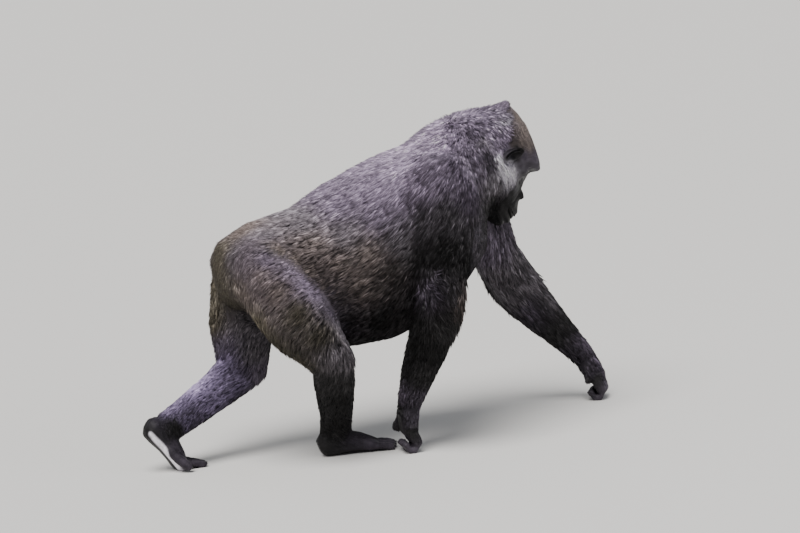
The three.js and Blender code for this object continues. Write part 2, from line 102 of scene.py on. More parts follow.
def setValues(thing, name, values):
    layer = thing.data.attributes.new(name, "FLOAT", "POINT")
    layer.data.foreach_set("value", values.astype(np.float32))


def pointsOf(mesh):
    points = np.empty(len(mesh.vertices) * 3, np.float32)
    mesh.vertices.foreach_get("co", points)
    return points.reshape(-1, 3).astype(float)


def trianglesOf(mesh):
    mesh.calc_loop_triangles()
    corners = np.empty(len(mesh.loop_triangles) * 3, np.int32)
    mesh.loop_triangles.foreach_get("vertices", corners)
    return corners.reshape(-1, 3)


def edgesOf(mesh):
    ends = np.empty(len(mesh.edges) * 2, np.int32)
    mesh.edges.foreach_get("vertices", ends)
    return ends.reshape(-1, 2)


def normalsOf(points, triangles):
    # the area-weighted mean of the faces round each point
    a, b, c = (points[triangles[:, k]] for k in range(3))
    faces = np.cross(b - a, c - a)
    total = np.stack([
        sum(np.bincount(triangles[:, k], faces[:, axis], len(points)) for k in range(3))
        for axis in range(3)], 1)
    return unit(total)


def relax(points, ends, share, rounds):
    # every round moves each point by its share of the way to the mean of its neighbours
    count = np.maximum(np.bincount(ends.ravel(), minlength=len(points)), 1)
    for _ in range(rounds):
        mean = np.stack([
            np.bincount(ends[:, 0], points[ends[:, 1], axis], len(points))
            + np.bincount(ends[:, 1], points[ends[:, 0], axis], len(points))
            for axis in range(3)], 1) / count[:, None]
        points = points + share[:, None] * (mean - points)
    return points


def evened(points, ends, share, rounds):
    # each round relaxes and then swells back by a little more, so facets go but girth stays
    for _ in range(rounds):
        points = relax(points, ends, share * 0.60, 1)
        points = relax(points, ends, share * -0.63, 1)
    return points


# where the joints are, in mm as in the part's source

build = {
    "shoulder": {"right": (188, -160, 735), "left": (344, 146, 690)},
    "hip": {"right": (-362, -112, 548), "left": (-338, 112, 538)},
    "elbowWay": {"right": (-0.1, -1, 0), "left": (-0.8, 1, -0.5)},
    "kneeWay": {"right": (0.34, -0.92, 0.2), "left": (0.83, 0.22, -0.51)},
    "upperArm": 355, "forearm": 312, "thigh": 295, "shin": 292,
    "hand": {"right": (24, -168, -6, -2), "left": (718, 102, -32, 32)},   # x, y, turn, lean
    "foot": {"right": (-232, -50, -8, 0), "left": (-700, 82, 4, 53)},     # x, y, turn, raised
    "ear": (404, 0, 771), "headPitch": 50, "eye": (78, 33, 13), "eyeRadius": 12,
}


def turned(axis, degrees):
    return np.array(Matrix.Rotation(math.radians(degrees), 3, axis))


headTurn = turned("Y", build["headPitch"])
eyeLow, eyeHigh = (np.array(corner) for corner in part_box("eye_right"))
eyeHere = np.array(build["ear"]) + headTurn @ (np.array(build["eye"]) * (1, -1, 1))
bodyShift = (eyeLow + eyeHigh) / 2 * 1000 - eyeHere
bodyShift[2] = 0


def toScene(places):
    # from the source's mm to the row frame in metres
    return (np.asarray(places, float) + bodyShift) / 1000


def toBody(places):
    return np.asarray(places, float) * 1000 - bodyShift


def toHead(places):
    # f runs out of the face, y to the animal's left and u up the face, from between the ears
    return (toBody(places) - build["ear"]) @ headTurn


def fromHead(places):
    return toScene(np.asarray(places, float) @ headTurn.T + build["ear"])


def bend(start, end, first, second, way):
    # the joint between two bones of known length, on the circle where both reach, towards way
    span = end - start
    reach = np.linalg.norm(span)
    along = (first ** 2 - second ** 2 + reach ** 2) / (2 * reach)
    axis = span / reach
    side = unit(np.array(way, float) - np.dot(way, axis) * axis)
    return start + axis * along + side * math.sqrt(max(0, first ** 2 - along ** 2))


def limbJoints(side):
    x, y, turn, lean = build["hand"][side]
    ahead = turned("Z", turn) @ (1, 0, 0)
    knuckle = np.array((x, y, 9.0))
    root = knuckle - ahead * math.sqrt(62 ** 2 - 57 ** 2)
    root[2] = 66
    up = -ahead * math.sin(math.radians(lean))
    up[2] = math.cos(math.radians(lean))
    wrist = root + up * 74 + ahead * 6
    shoulder = np.array(build["shoulder"][side], float)
    elbow = bend(shoulder, wrist, build["upperArm"], build["forearm"], build["elbowWay"][side])
    x, y, turn, raised = build["foot"][side]
    sole = turned("Z", turn) @ turned("Y", raised)
    heel = np.array((x, y, math.sin(math.radians(raised)) * 154 + (3 if raised else 0)))
    ankle = heel + sole @ (58, 0, 78)
    hip = np.array(build["hip"][side], float)
    knee = bend(hip, ankle, build["thigh"], build["shin"], build["kneeWay"][side])
    return {"shoulder": shoulder, "elbow": elbow, "wrist": wrist, "root": root, "knuckle": knuckle,
            "ahead": ahead, "hip": hip, "knee": knee, "ankle": ankle, "heel": heel, "sole": sole,
            "ball": heel + sole @ (150, 0, 20)}


joints = {side: limbJoints(side) for side in ("right", "left")}
handMake = {"middle": 34, "tip": 20, "radius": 10.2, "pitch": 20.2,
            "fingers": ((-1.5, 0.95), (-0.5, 1.0), (0.5, 0.97), (1.5, 0.86))}
footMake = {"toes": ((1.5, 66), (0.5, 68), (-0.5, 63), (-1.5, 54)), "radius": 10.4, "pitch": 20.2,
            # the big toe's last joints along, out and up from the heel, flat and raised
            "bigToe": (((132, 58, 14), (156, 70, 12.5), (172, 77, 11)),
                       ((132, 56, 20), (150, 66, 22), (163, 72, 24)))}


def digitLines(side):
    # each digit's joints from its root to its tip, its radius, and which way its nail faces
    j = joints[side]
    ahead, knuckle, root, wrist = j["ahead"], j["knuckle"], j["root"], j["wrist"]
    across = np.array((-ahead[1], ahead[0], 0)) * (1 if side == "left" else -1)
    lines = []
    for place, scale in handMake["fingers"]:
        shift = across * place * handMake["pitch"]
        bent = knuckle + shift + ahead * (scale - 1) * 40
        far = bent - ahead * handMake["middle"] * scale
        tip = far - ahead * handMake["tip"] * 0.45 + (0, 0, handMake["tip"] * 0.9)
        lines.append(([root + (knuckle - root) * (1 - scale) + shift, bent, far, tip],
                      handMake["radius"], -ahead * 0.9 - (0, 0, 0.45)))
    thumb = [wrist + (root - wrist) * t - across * out - ahead * off
             for t, out, off in ((0.15, 22, 4), (0.45, 38, 10), (0.8, 45, 16), (1.1, 45, 22))]
    lines.append((thumb, 11, -across * 0.9 + ahead * 0.3))
    inward = -1 if side == "left" else 1
    turn, raised = build["foot"][side][2:]
    for place, length in footMake["toes"]:
        start = j["heel"] + j["sole"] @ (158, inward * place * footMake["pitch"], 17)
        fan = turned("Z", turn + inward * place * 3.5) @ (1, 0, 0)
        start[2] = max(start[2], 9.2)
        low = np.array((start[0], start[1], 0)) + np.outer((0.3, 0.58, 0.85, 1.02), fan) * length
        low[:, 2] = (15.2, 14.2, 9.2, 6.7)
        faces = np.array((0, 0, 1.0)) + fan * 0.15
        lines.append(([start, low[0], low[1], low[3]], footMake["radius"], faces))
    flatTips, raisedTips = footMake["bigToe"]
    tips = raisedTips if raised else flatTips
    big = [j["heel"] + j["sole"] @ (s, inward * out, n) for s, out, n in ((84, 26, 24), (108, 42, 19), *tips)]
    lines.append(([big[0], big[1], big[3], big[4]], 14, j["sole"] @ (0, inward * -0.35, 0.9)))
    return lines


digits = [line for side in ("right", "left") for line in digitLines(side)]

# how the coat lies: combing places over the body

# the lilac, plum and violet tints are greys carrying a painted reflection of the blue-purple sky
hues = {  # the coat's tints; a row's level gives how light
    "silver": (1.00, 0.94, 1.06), "lilac": (1.02, 0.83, 1.13), "plum": (1.02, 0.86, 1.12),
    "grey": (1.04, 0.93, 1.04), "brown": (1.17, 0.95, 0.87), "olive": (1.17, 1.02, 0.76),
    "black": (1.03, 0.97, 1.00), "violet": (0.93, 0.75, 1.22),
}

# Along the back, nape and shoulders the levels are lighter, partly the coat's own grey and partly painted
# light from above.
# Each row: place in mm, way the hair lies, length, how far it stands off (degrees), hue, level,
# how much the strands differ in shade, and how much they wander.
trunkComb = [
    ((250, 0, 862), (-1, 0, -0.1), 42, 20, "lilac", 0.5, 0.34, 0.1),
    ((150, 0, 845), (-1, 0, -0.35), 44, 18, "lilac", 0.54, 0.3, 0.08),
    ((20, 0, 790), (-1, 0, -0.42), 44, 17, "lilac", 0.36, 0.28, 0.08),
    ((-110, 0, 742), (-1, 0, -0.26), 40, 17, "lilac", 0.28, 0.3, 0.1),
    ((-230, 0, 712), (-1, 0, -0.12), 38, 16, "grey", 0.23, 0.34, 0.12),
    ((-350, 0, 674), (-0.9, 0, -0.45), 34, 16, "brown", 0.23, 0.36, 0.12),
    ((-440, 0, 600), (-0.4, 0, -1), 30, 15, "olive", 0.13, 0.34, 0.12),
    ((-455, 0, 520), (0, 0, -1), 26, 13, "olive", 0.066, 0.34, 0.14),
    ((210, 110, 830), (-0.72, 0.12, -0.66), 44, 16, "lilac", 0.47, 0.36, 0.08),
    ((110, 120, 795), (-0.8, 0.1, -0.58), 44, 16, "lilac", 0.44, 0.34, 0.08),
    ((0, 130, 750), (-0.84, 0.1, -0.54), 44, 15, "lilac", 0.29, 0.34, 0.08),
    ((-110, 120, 722), (-0.92, 0.1, -0.38), 40, 15, "lilac", 0.24, 0.36, 0.1),
    ((-220, 115, 690), (-0.95, 0.1, -0.3), 38, 15, "grey", 0.22, 0.38, 0.11),
    ((-320, 110, 650), (-0.94, 0.05, -0.35), 34, 15, "grey", 0.26, 0.4, 0.12),
    ((-400, 115, 600), (-0.85, 0.05, -0.5), 32, 15, "grey", 0.2, 0.4, 0.12),
    ((-445, 120, 530), (-0.45, 0, -0.9), 30, 14, "olive", 0.135, 0.38, 0.12),
    ((-450, 70, 460), (0, 0, -1), 24, 12, "olive", 0.049, 0.36, 0.14),
    ((170, 180, 775), (-0.6, 0.1, -0.78), 46, 14, "lilac", 0.18, 0.4, 0.08),
    ((80, 190, 725), (-0.74, 0.1, -0.66), 46, 14, "lilac", 0.23, 0.4, 0.08),
    # This row and those at (110, 215, 660), (20, 225, 620) and (-70, 225, 590) are darker as a painted shadow
    # cast by the infant on the back, which is not built.
    ((-20, 195, 690), (-0.84, 0.05, -0.54), 44, 14, "lilac", 0.19, 0.42, 0.08),
    ((-120, 190, 650), (-0.9, 0, -0.42), 40, 14, "grey", 0.2, 0.42, 0.1),
    ((-220, 175, 620), (-0.95, 0, -0.28), 38, 14, "brown", 0.2, 0.42, 0.11),
    ((-310, 170, 590), (-0.96, 0, -0.27), 36, 14, "brown", 0.21, 0.42, 0.11),
    ((110, 215, 660), (-0.72, 0, -0.7), 46, 13, "grey", 0.075, 0.44, 0.08),
    ((20, 225, 620), (-0.8, 0, -0.6), 44, 13, "grey", 0.085, 0.44, 0.08),
    ((-70, 225, 590), (-0.86, 0, -0.5), 42, 13, "brown", 0.145, 0.44, 0.09),
    ((-160, 215, 560), (-0.92, 0, -0.38), 40, 13, "brown", 0.17, 0.44, 0.1),
    ((-240, 200, 545), (-0.96, 0, -0.27), 38, 13, "brown", 0.16, 0.44, 0.11),
    ((80, 225, 560), (-0.76, 0, -0.64), 44, 12, "black", 0.029, 0.46, 0.09),
    ((-10, 232, 530), (-0.82, 0, -0.57), 42, 12, "brown", 0.022, 0.46, 0.09),
    ((-110, 228, 500), (-0.88, 0, -0.46), 40, 12, "brown", 0.1, 0.46, 0.11),
    ((-190, 205, 480), (-0.94, 0, -0.33), 38, 12, "brown", 0.09, 0.5, 0.14),
    ((60, 215, 450), (-0.7, -0.1, -0.7), 38, 11, "black", 0.005, 0.46, 0.11),
    ((-50, 205, 405), (-0.84, -0.1, -0.52), 38, 11, "black", 0.005, 0.55, 0.14),
    ((-150, 180, 385), (-0.9, -0.1, -0.38), 36, 12, "black", 0.006, 0.6, 0.2),
    ((-230, 150, 400), (-0.9, -0.1, -0.3), 32, 12, "black", 0.006, 0.5, 0.18),
    ((100, 120, 345), (-0.9, -0.2, -0.2), 30, 10, "black", 0.005, 0.35, 0.14),
    ((-60, 110, 312), (-0.9, -0.2, -0.1), 30, 10, "black", 0.005, 0.35, 0.14),
    ((0, 0, 296), (-1, 0, 0), 28, 10, "black", 0.005, 0.3, 0.14),
    ((-200, 0, 330), (-1, 0, 0.1), 28, 10, "black", 0.005, 0.3, 0.14),
    ((-340, 0, 410), (-0.8, 0, 0.2), 24, 12, "black", 0.006, 0.3, 0.14),
    ((200, 150, 480), (-0.5, -0.1, -0.8), 34, 11, "black", 0.005, 0.4, 0.14),
    ((270, 80, 620), (-0.2, -0.1, -1), 30, 11, "black", 0.006, 0.4, 0.14),
    ((290, 0, 560), (-0.4, 0, -0.9), 30, 11, "black", 0.005, 0.35, 0.14),
    ((330, 0, 690), (0.1, 0, -1), 28, 12, "black", 0.005, 0.35, 0.14),
    ((180, 0, 420), (-0.8, 0, -0.5), 30, 11, "black", 0.005, 0.35, 0.14),
]

# The fold between the near thigh and the belly, whose darkness is painted shade, then the thigh's smooth
# front beside it, lightened as a painted sheen,
# and the belly on its other side: each band is the same line shifted, with a level for each place on it.
foldLine = ((-325, -150, 592), (-290, -162, 562), (-254, -168, 528),
            (-222, -170, 492), (-190, -170, 450), (-165, -165, 405))
foldBands = [
    ((0, 0, 0), (20, 8, "black"), (0.08, 0.04, 0.02, 0.012, 0.008, 0.006), (0.4, 0.1)),
    ((-15, -6, -13), (28, 9, "lilac"), (0.25, 0.36, 0.37, 0.29, 0.15, 0.05), (0.25, 0.07)),
    ((15, -4, 13), (30, 11, "brown"), (0.16, 0.13, 0.12, 0.08, 0.035, 0.012), (0.4, 0.1)),
]
foldComb = [(np.add(place, shift), (-0.95, 0, -0.3), *look, level, *vary)
            for shift, look, levels, vary in foldBands for place, level in zip(foldLine, levels)]

# The nape and the ridge of hair towards the crown, which is brushed forwards.
neckComb = [
    ((225, 55, 872), (-0.6, 0.4, -0.25), 36, 26, "lilac", 0.37, 0.4, 0.24),
    ((272, 35, 892), (0.2, 0.35, 0.2), 25, 42, "lilac", 0.25, 0.5, 0.6),
    ((320, 28, 905), (0.8, 0.1, 0.3), 29, 26, "lilac", 0.235, 0.5, 0.34),
    ((375, 0, 915), (0.95, 0, 0.3), 32, 24, "lilac", 0.25, 0.45, 0.2),
    ((415, 0, 912), (0.95, 0, 0.3), 32, 26, "lilac", 0.26, 0.4, 0.14),
    ((290, 70, 872), (0.55, 0.3, -0.55), 28, 24, "lilac", 0.22, 0.6, 0.34),
    ((335, 66, 876), (0.75, 0.25, -0.45), 28, 22, "lilac", 0.24, 0.6, 0.3),
    ((375, 72, 850), (0.7, 0.25, -0.65), 26, 18, "lilac", 0.34, 0.65, 0.24),
    ((325, 100, 835), (0.55, 0.3, -0.75), 28, 20, "lilac", 0.4, 0.65, 0.28),
    ((370, 100, 805), (0.55, 0.2, -0.8), 26, 17, "lilac", 0.37, 0.7, 0.26),
    ((345, 125, 775), (0.45, 0.1, -0.88), 28, 17, "lilac", 0.4, 0.7, 0.26),
    ((340, 130, 735), (0.35, 0, -0.93), 30, 15, "grey", 0.3, 0.7, 0.24),
    ((330, 120, 690), (0.25, -0.1, -0.95), 30, 14, "grey", 0.13, 0.7, 0.22),
    ((310, 100, 650), (0.15, -0.2, -0.95), 30, 13, "black", 0.014, 0.6, 0.2),
    ((250, 90, 855), (-0.45, 0.4, -0.75), 38, 18, "lilac", 0.34, 0.4, 0.12),
    ((285, 120, 815), (-0.25, 0.25, -0.9), 40, 16, "lilac", 0.22, 0.4, 0.1),
    ((305, 140, 765), (-0.15, 0.1, -0.97), 42, 14, "lilac", 0.17, 0.45, 0.1),
    ((300, 150, 710), (-0.1, 0, -0.99), 42, 14, "lilac", 0.1, 0.5, 0.12),
]

# The parting where the neck's coat meets the shoulder's: shorter hair in a narrow line, darker as painted
# shade in the gap between them.
partingComb = [
    ((275, 70, 862), (-0.1, 0.4, -0.8), 28, 13, "lilac", 0.17, 0.6, 0.2),
    ((292, 85, 842), (0, 0.4, -0.9), 28, 12, "lilac", 0.14, 0.6, 0.2),
    ((308, 99, 817), (0, 0.3, -0.95), 26, 12, "plum", 0.12, 0.6, 0.2),
    ((321, 111, 791), (0.1, 0.2, -0.95), 25, 11, "plum", 0.07, 0.6, 0.2),
    ((331, 121, 765), (0.1, 0.1, -0.99), 25, 11, "plum", 0.03, 0.6, 0.2),
]


def bareRows(rows):
    # rows of bare or nearly bare skin: place, way, length, hue and level, the rest being the same
    return [(place, way, long, 6, hue, level, 0.2, 0.1) for place, way, long, hue, level in rows]


# The same rows on the head, with places in f, y, u.
headComb = [
    ((-122, 0, 84), (0.5, 0, 0.75), 30, 24, "lilac", 0.25, 0.4, 0.2),
    ((-104, 0, 104), (0.25, 0, 0.97), 27, 38, "lilac", 0.29, 0.35, 0.12),
    ((-106, 22, 98), (0.3, 0.1, 0.93), 26, 34, "lilac", 0.27, 0.4, 0.14),
    ((-99, 44, 82), (0.6, 0.1, 0.5), 25, 28, "lilac", 0.21, 0.6, 0.2),
    ((-91, 58, 62), (0.85, 0.1, 0.1), 26, 22, "lilac", 0.24, 0.75, 0.2),
    ((-72, 68, 46), (0.95, 0.1, -0.2), 25, 18, "lilac", 0.25, 0.8, 0.2),
    ((-53, 76, 26), (0.95, 0.1, -0.25), 22, 16, "lilac", 0.27, 0.8, 0.2),
    ((-36, 86, 6), (0.9, 0.1, -0.4), 19, 15, "lilac", 0.28, 0.75, 0.2),
    ((-82, 62, 58), (0.75, 0.1, -0.5), 24, 14, "silver", 0.46, 0.3, 0.08),
    ((-120, 60, 40), (0.8, 0.1, -0.25), 28, 18, "lilac", 0.21, 0.8, 0.28),
    ((-90, 80, 10), (0.75, 0.1, -0.45), 28, 18, "lilac", 0.24, 0.8, 0.26),
    ((-60, 88, -18), (0.8, 0.05, -0.4), 28, 17, "lilac", 0.24, 0.75, 0.24),
    ((-100, 90, -40), (0.6, 0, -0.7), 30, 16, "grey", 0.2, 0.75, 0.26),
    # the pale ruff from behind the ear to the cheek
    ((-48, 89, -34), (1, 0, 0), 30, 18, "silver", 0.34, 0.55, 0.2),
    ((-28, 90, -42), (1, 0, 0), 31, 18, "silver", 0.64, 0.45, 0.16),
    ((-6, 90, -46), (1, 0, 0), 31, 18, "silver", 0.69, 0.42, 0.14),
    ((14, 88, -44), (1, 0, -0.05), 30, 18, "silver", 0.72, 0.4, 0.12),
    ((34, 84, -46), (0.95, 0, -0.25), 26, 16, "silver", 0.6, 0.4, 0.12),
    ((48, 80, -56), (0.8, 0, -0.55), 24, 14, "silver", 0.28, 0.45, 0.14),
    ((38, 84, -30), (0.9, 0, -0.45), 22, 14, "silver", 0.7, 0.45, 0.12),
    ((22, 86, -24), (0.95, 0, -0.25), 22, 14, "silver", 0.66, 0.45, 0.12),
    ((58, 79, -38), (0.75, 0, -0.65), 18, 12, "silver", 0.57, 0.45, 0.12),
    ((68, 76, -54), (0.55, 0, -0.8), 16, 11, "silver", 0.11, 0.5, 0.14),
    ((56, 77, -76), (0.65, 0, -0.75), 26, 13, "grey", 0.09, 0.65, 0.18),
    ((62, 73, -100), (0.5, 0, -0.85), 22, 12, "grey", 0.02, 0.65, 0.18),
    ((-50, 90, -66), (0.8, 0, -0.55), 32, 16, "grey", 0.16, 0.7, 0.22),
    ((-18, 90, -74), (0.75, 0, -0.65), 32, 15, "grey", 0.11, 0.7, 0.2),
    ((20, 88, -76), (0.68, 0, -0.72), 32, 15, "grey", 0.11, 0.7, 0.2),
    ((36, 80, -108), (0.5, 0, -0.85), 28, 13, "black", 0.025, 0.65, 0.2),
    ((-30, 84, -104), (0.5, 0, -0.85), 30, 13, "black", 0.04, 0.65, 0.2),
    ((74, 62, -124), (0.3, -0.1, -0.9), 16, 10, "black", 0.006, 0.5, 0.18),
    ((40, 50, -142), (-0.3, -0.2, -0.9), 22, 12, "black", 0.006, 0.4, 0.18),
    ((-10, 60, -126), (-0.2, -0.2, -0.95), 28, 13, "black", 0.008, 0.45, 0.2),
    ((10, 0, -140), (-0.5, 0, -0.8), 24, 12, "black", 0.006, 0.4, 0.18),
    ((-40, 20, -110), (-0.4, 0, -0.9), 28, 12, "black", 0.008, 0.4, 0.2),
    # forehead and temples: short and smooth, brushed up and back
    ((-85, 0, 113), (-0.6, 0, 0.75), 12, 11, "brown", 0.036, 0.34, 0.08),
    ((-87, 26, 107), (-0.6, 0, 0.75), 12, 11, "brown", 0.036, 0.34, 0.08),
    ((-81, 48, 87), (-0.7, 0.1, 0.6), 12, 10, "brown", 0.046, 0.36, 0.08),
    ((-55, 63, 61), (-0.75, 0.1, 0.5), 11, 10, "brown", 0.046, 0.4, 0.1),
    ((-33, 73, 43), (-0.75, 0.1, 0.5), 10, 9, "brown", 0.046, 0.4, 0.1),
    ((-19, 81, 26), (-0.8, 0.1, 0.3), 9, 9, "brown", 0.049, 0.4, 0.1),
    ((-30, 0, 116), (-0.8, 0, 0.5), 12, 10, "brown", 0.082, 0.34, 0.08),
    ((-34, 32, 111), (-0.8, 0.1, 0.5), 12, 10, "brown", 0.082, 0.34, 0.08),
    ((-38, 52, 88), (-0.75, 0.1, 0.5), 12, 9, "brown", 0.087, 0.34, 0.08),
    ((12, 0, 101), (-0.85, 0, 0.5), 11, 9, "brown", 0.091, 0.34, 0.08),
    ((10, 42, 89), (-0.82, 0.1, 0.5), 11, 9, "brown", 0.091, 0.34, 0.08),
    ((-6, 66, 70), (-0.78, 0.1, 0.4), 11, 9, "brown", 0.084, 0.34, 0.08),
    ((4, 78, 44), (-0.8, 0.1, 0.3), 9, 8, "brown", 0.065, 0.34, 0.1),
    ((48, 0, 86), (-0.8, 0, 0.55), 9, 8, "brown", 0.076, 0.3, 0.08),
    ((46, 44, 72), (-0.82, 0.1, 0.5), 8, 8, "brown", 0.072, 0.3, 0.08),
    ((30, 70, 52), (-0.82, 0.1, 0.4), 8, 8, "brown", 0.065, 0.3, 0.08),
    ((82, 0, 67), (-0.7, 0, 0.7), 5, 6, "plum", 0.06, 0.25, 0.08),
    ((80, 40, 60), (-0.75, 0.1, 0.6), 4, 6, "plum", 0.06, 0.25, 0.08),
    ((62, 64, 46), (-0.8, 0.1, 0.45), 4, 6, "plum", 0.06, 0.25, 0.08),
    ((34, 80, 26), (-0.8, 0.1, 0.2), 5, 7, "plum", 0.06, 0.3, 0.1),
    # Bare skin: the brow, temples and cheeks are lighter and lilac as a painted sheen, and the muzzle, lips
    # and jaw are near black.
    *bareRows([
        ((112, 0, 50), (-0.5, 0, 0.8), 0, "plum", 0.044), ((109, 34, 48), (-0.5, 0, 0.8), 0, "plum", 0.044),
        ((94, 60, 36), (-0.6, 0, 0.6), 0, "plum", 0.034), ((70, 75, 14), (-0.8, 0, 0.2), 0, "plum", 0.028),
        ((44, 83, -4), (0.8, 0, -0.3), 2, "plum", 0.04), ((27, 87, 4), (0.9, 0, -0.1), 2, "grey", 0.018),
        ((72, 77, -12), (0.7, 0, -0.6), 0, "grey", 0.02), ((84, 70, -34), (0.5, 0, -0.8), 0, "grey", 0.01),
        ((88, 66, -66), (0.3, 0, -0.9), 0, "black", 0.004), ((92, 33, 14), (0, 0, -1), 0, "black", 0.01),
        ((106, 12, 8), (0, 0, -1), 0, "black", 0.01), ((98, 56, -8), (0.2, 0, -1), 0, "black", 0.014),
        ((114, 0, -10), (0, 0, -1), 0, "black", 0.01), ((112, 30, -34), (0, 0, -1), 0, "black", 0.008),
        ((134, 0, -46), (0, 0, -1), 0, "black", 0.007), ((126, 24, -50), (0, 0, -1), 0, "black", 0.007),
        ((112, 50, -84), (0.2, 0, -1), 0, "black", 0.004), ((150, 0, -86), (0, 0, -1), 0, "black", 0.01),
        ((140, 30, -102), (0, 0, -1), 0, "black", 0.005), ((90, 58, -100), (0.2, 0, -1), 2, "black", 0.004),
        ((142, 0, -132), (0, 0, -1), 3, "black", 0.006),
    ]),
    # the chin
    ((112, 44, -118), (0, 0, -1), 3, 8, "black", 0.006, 0.3, 0.1),
    ((126, 0, -154), (-0.4, 0, -0.9), 8, 10, "black", 0.006, 0.3, 0.1),
    ((94, 36, -150), (-0.5, 0, -0.8), 14, 10, "black", 0.006, 0.3, 0.15),
    # the ears
    *bareRows([
        ((-2, 105, 4), (0, 0, -1), 0, "black", 0.005), ((-2, 105, 27), (0, 0, -1), 0, "black", 0.004),
        ((-2, 103, -18), (0, 0, -1), 0, "grey", 0.01), ((-16, 97, 4), (0, 0, -1), 0, "black", 0.004),
        ((-10, 97, 26), (0, 0, -1), 0, "black", 0.004), ((12, 98, 22), (0, 0, -1), 0, "black", 0.004),
        ((14, 96, 0), (0, 0, -1), 0, "black", 0.008), ((-12, 96, -14), (0, 0, -1), 0, "black", 0.005),
    ]),
]

# On a limb the rows give: share of the bone, turn round it (0 in front, 90 on the outer side, 180
# behind), distance from the bone, then how much the hair lies along the bone and how much
# backwards, and the rest as above.
upperArmComb = [
    (-0.1, 90, 80, 0.95, 0.32, 46, 14, "lilac", 0.17, 0.4, 0.08),
    (0.04, 150, 90, 0.85, 0.5, 46, 14, "lilac", 0.18, 0.42, 0.08),
    (0.1, 60, 84, 0.96, 0.2, 44, 13, "lilac", 0.095, 0.42, 0.08),
    (0.06, 5, 90, 0.98, 0.05, 42, 12, "plum", 0.07, 0.46, 0.1),
    (0.28, 90, 78, 0.94, 0.34, 46, 13, "grey", 0.048, 0.5, 0.09),
    (0.3, 170, 88, 0.86, 0.5, 46, 14, "grey", 0.05, 0.55, 0.1),
    (0.32, 10, 84, 0.98, 0.05, 42, 12, "grey", 0.05, 0.55, 0.1),
    (0.56, 90, 70, 0.9, 0.42, 46, 12, "black", 0.012, 0.6, 0.12),
    (0.6, 170, 78, 0.88, 0.45, 46, 13, "black", 0.006, 0.66, 0.14),
    (0.6, 15, 74, 0.98, 0.05, 44, 13, "black", 0.01, 0.66, 0.12),
    (0.86, 90, 66, 0.85, -0.3, 48, 14, "grey", 0.026, 0.85, 0.22),
    (0.9, 150, 70, 0.5, -0.85, 50, 16, "lilac", 0.04, 0.85, 0.28),
    (0.92, 10, 76, 0.95, 0.05, 52, 17, "brown", 0.055, 0.85, 0.2),
    (0.5, 270, 60, 0.97, 0, 36, 10, "black", 0.005, 0.4, 0.12),
    (0.1, 270, 60, 0.97, 0, 30, 10, "black", 0.005, 0.4, 0.12),
]
farUpperArmComb = [
    # The far arm is lighter than the near arm at the same places, on the inner side at 270 and in front,
    # partly the hair's own grey and partly a painted sheen.
    (-0.05, 90, 84, 0.95, 0.3, 44, 13, "lilac", 0.16, 0.4, 0.08),
    (0.1, 0, 88, 0.98, 0.05, 40, 12, "plum", 0.047, 0.46, 0.1),
    (0.1, 180, 88, 0.9, 0.4, 42, 13, "plum", 0.031, 0.5, 0.1),
    (0.3, 270, 76, 0.92, 0.4, 40, 11, "plum", 0.12, 0.5, 0.1),
    (0.55, 270, 70, 0.92, 0.4, 42, 11, "plum", 0.16, 0.55, 0.1),
    (0.8, 270, 66, 0.98, 0.1, 42, 12, "grey", 0.12, 0.6, 0.14),
    (0.4, 0, 84, 0.98, 0.05, 42, 12, "plum", 0.078, 0.5, 0.1),
    (0.8, 0, 76, 0.98, 0.05, 46, 14, "grey", 0.11, 0.6, 0.14),
    (0.5, 180, 80, 0.9, 0.35, 44, 13, "black", 0.018, 0.5, 0.12),
    (0.85, 180, 72, 0.85, 0.2, 46, 15, "black", 0.018, 0.6, 0.18),
    (0.5, 90, 70, 0.92, 0.4, 44, 12, "plum", 0.027, 0.6, 0.12),
    (0.85, 90, 68, 0.85, -0.2, 46, 14, "grey", 0.031, 0.7, 0.18),
]
forearmComb = [
    (0.06, 100, 60, 0.7, -0.65, 44, 15, "black", 0.02, 0.75, 0.24),
    (0.1, 10, 74, 0.92, -0.15, 46, 16, "black", 0.02, 0.65, 0.18),
    (0.1, 180, 64, 0.85, -0.25, 42, 14, "black", 0.006, 0.6, 0.2),
    (0.32, 90, 58, 0.95, -0.2, 40, 11, "black", 0.006, 0.55, 0.12),
    (0.35, 0, 64, 0.95, 0, 40, 12, "black", 0.006, 0.55, 0.12),
    (0.35, 180, 58, 0.95, 0, 40, 12, "black", 0.005, 0.55, 0.12),
    (0.62, 90, 50, 0.97, 0, 34, 10, "black", 0.022, 0.5, 0.11),
    (0.62, 0, 54, 0.97, 0, 34, 11, "black", 0.006, 0.5, 0.11),
    (0.62, 180, 52, 0.97, 0, 34, 11, "black", 0.005, 0.5, 0.11),
    (0.4, 270, 52, 0.97, 0, 34, 10, "black", 0.005, 0.4, 0.11),
    # The wrist rows at 90 and 160 are lighter than the rest of the forearm as a painted sheen.
    (0.9, 90, 42, 0.97, 0, 28, 11, "plum", 0.06, 0.6, 0.11),
    (0.9, 0, 42, 0.97, 0, 30, 12, "plum", 0.02, 0.6, 0.11),
    (0.9, 160, 42, 0.97, 0, 28, 11, "lilac", 0.08, 0.5, 0.11),
    (0.9, 270, 42, 0.97, 0, 22, 9, "black", 0.01, 0.4, 0.11),
]
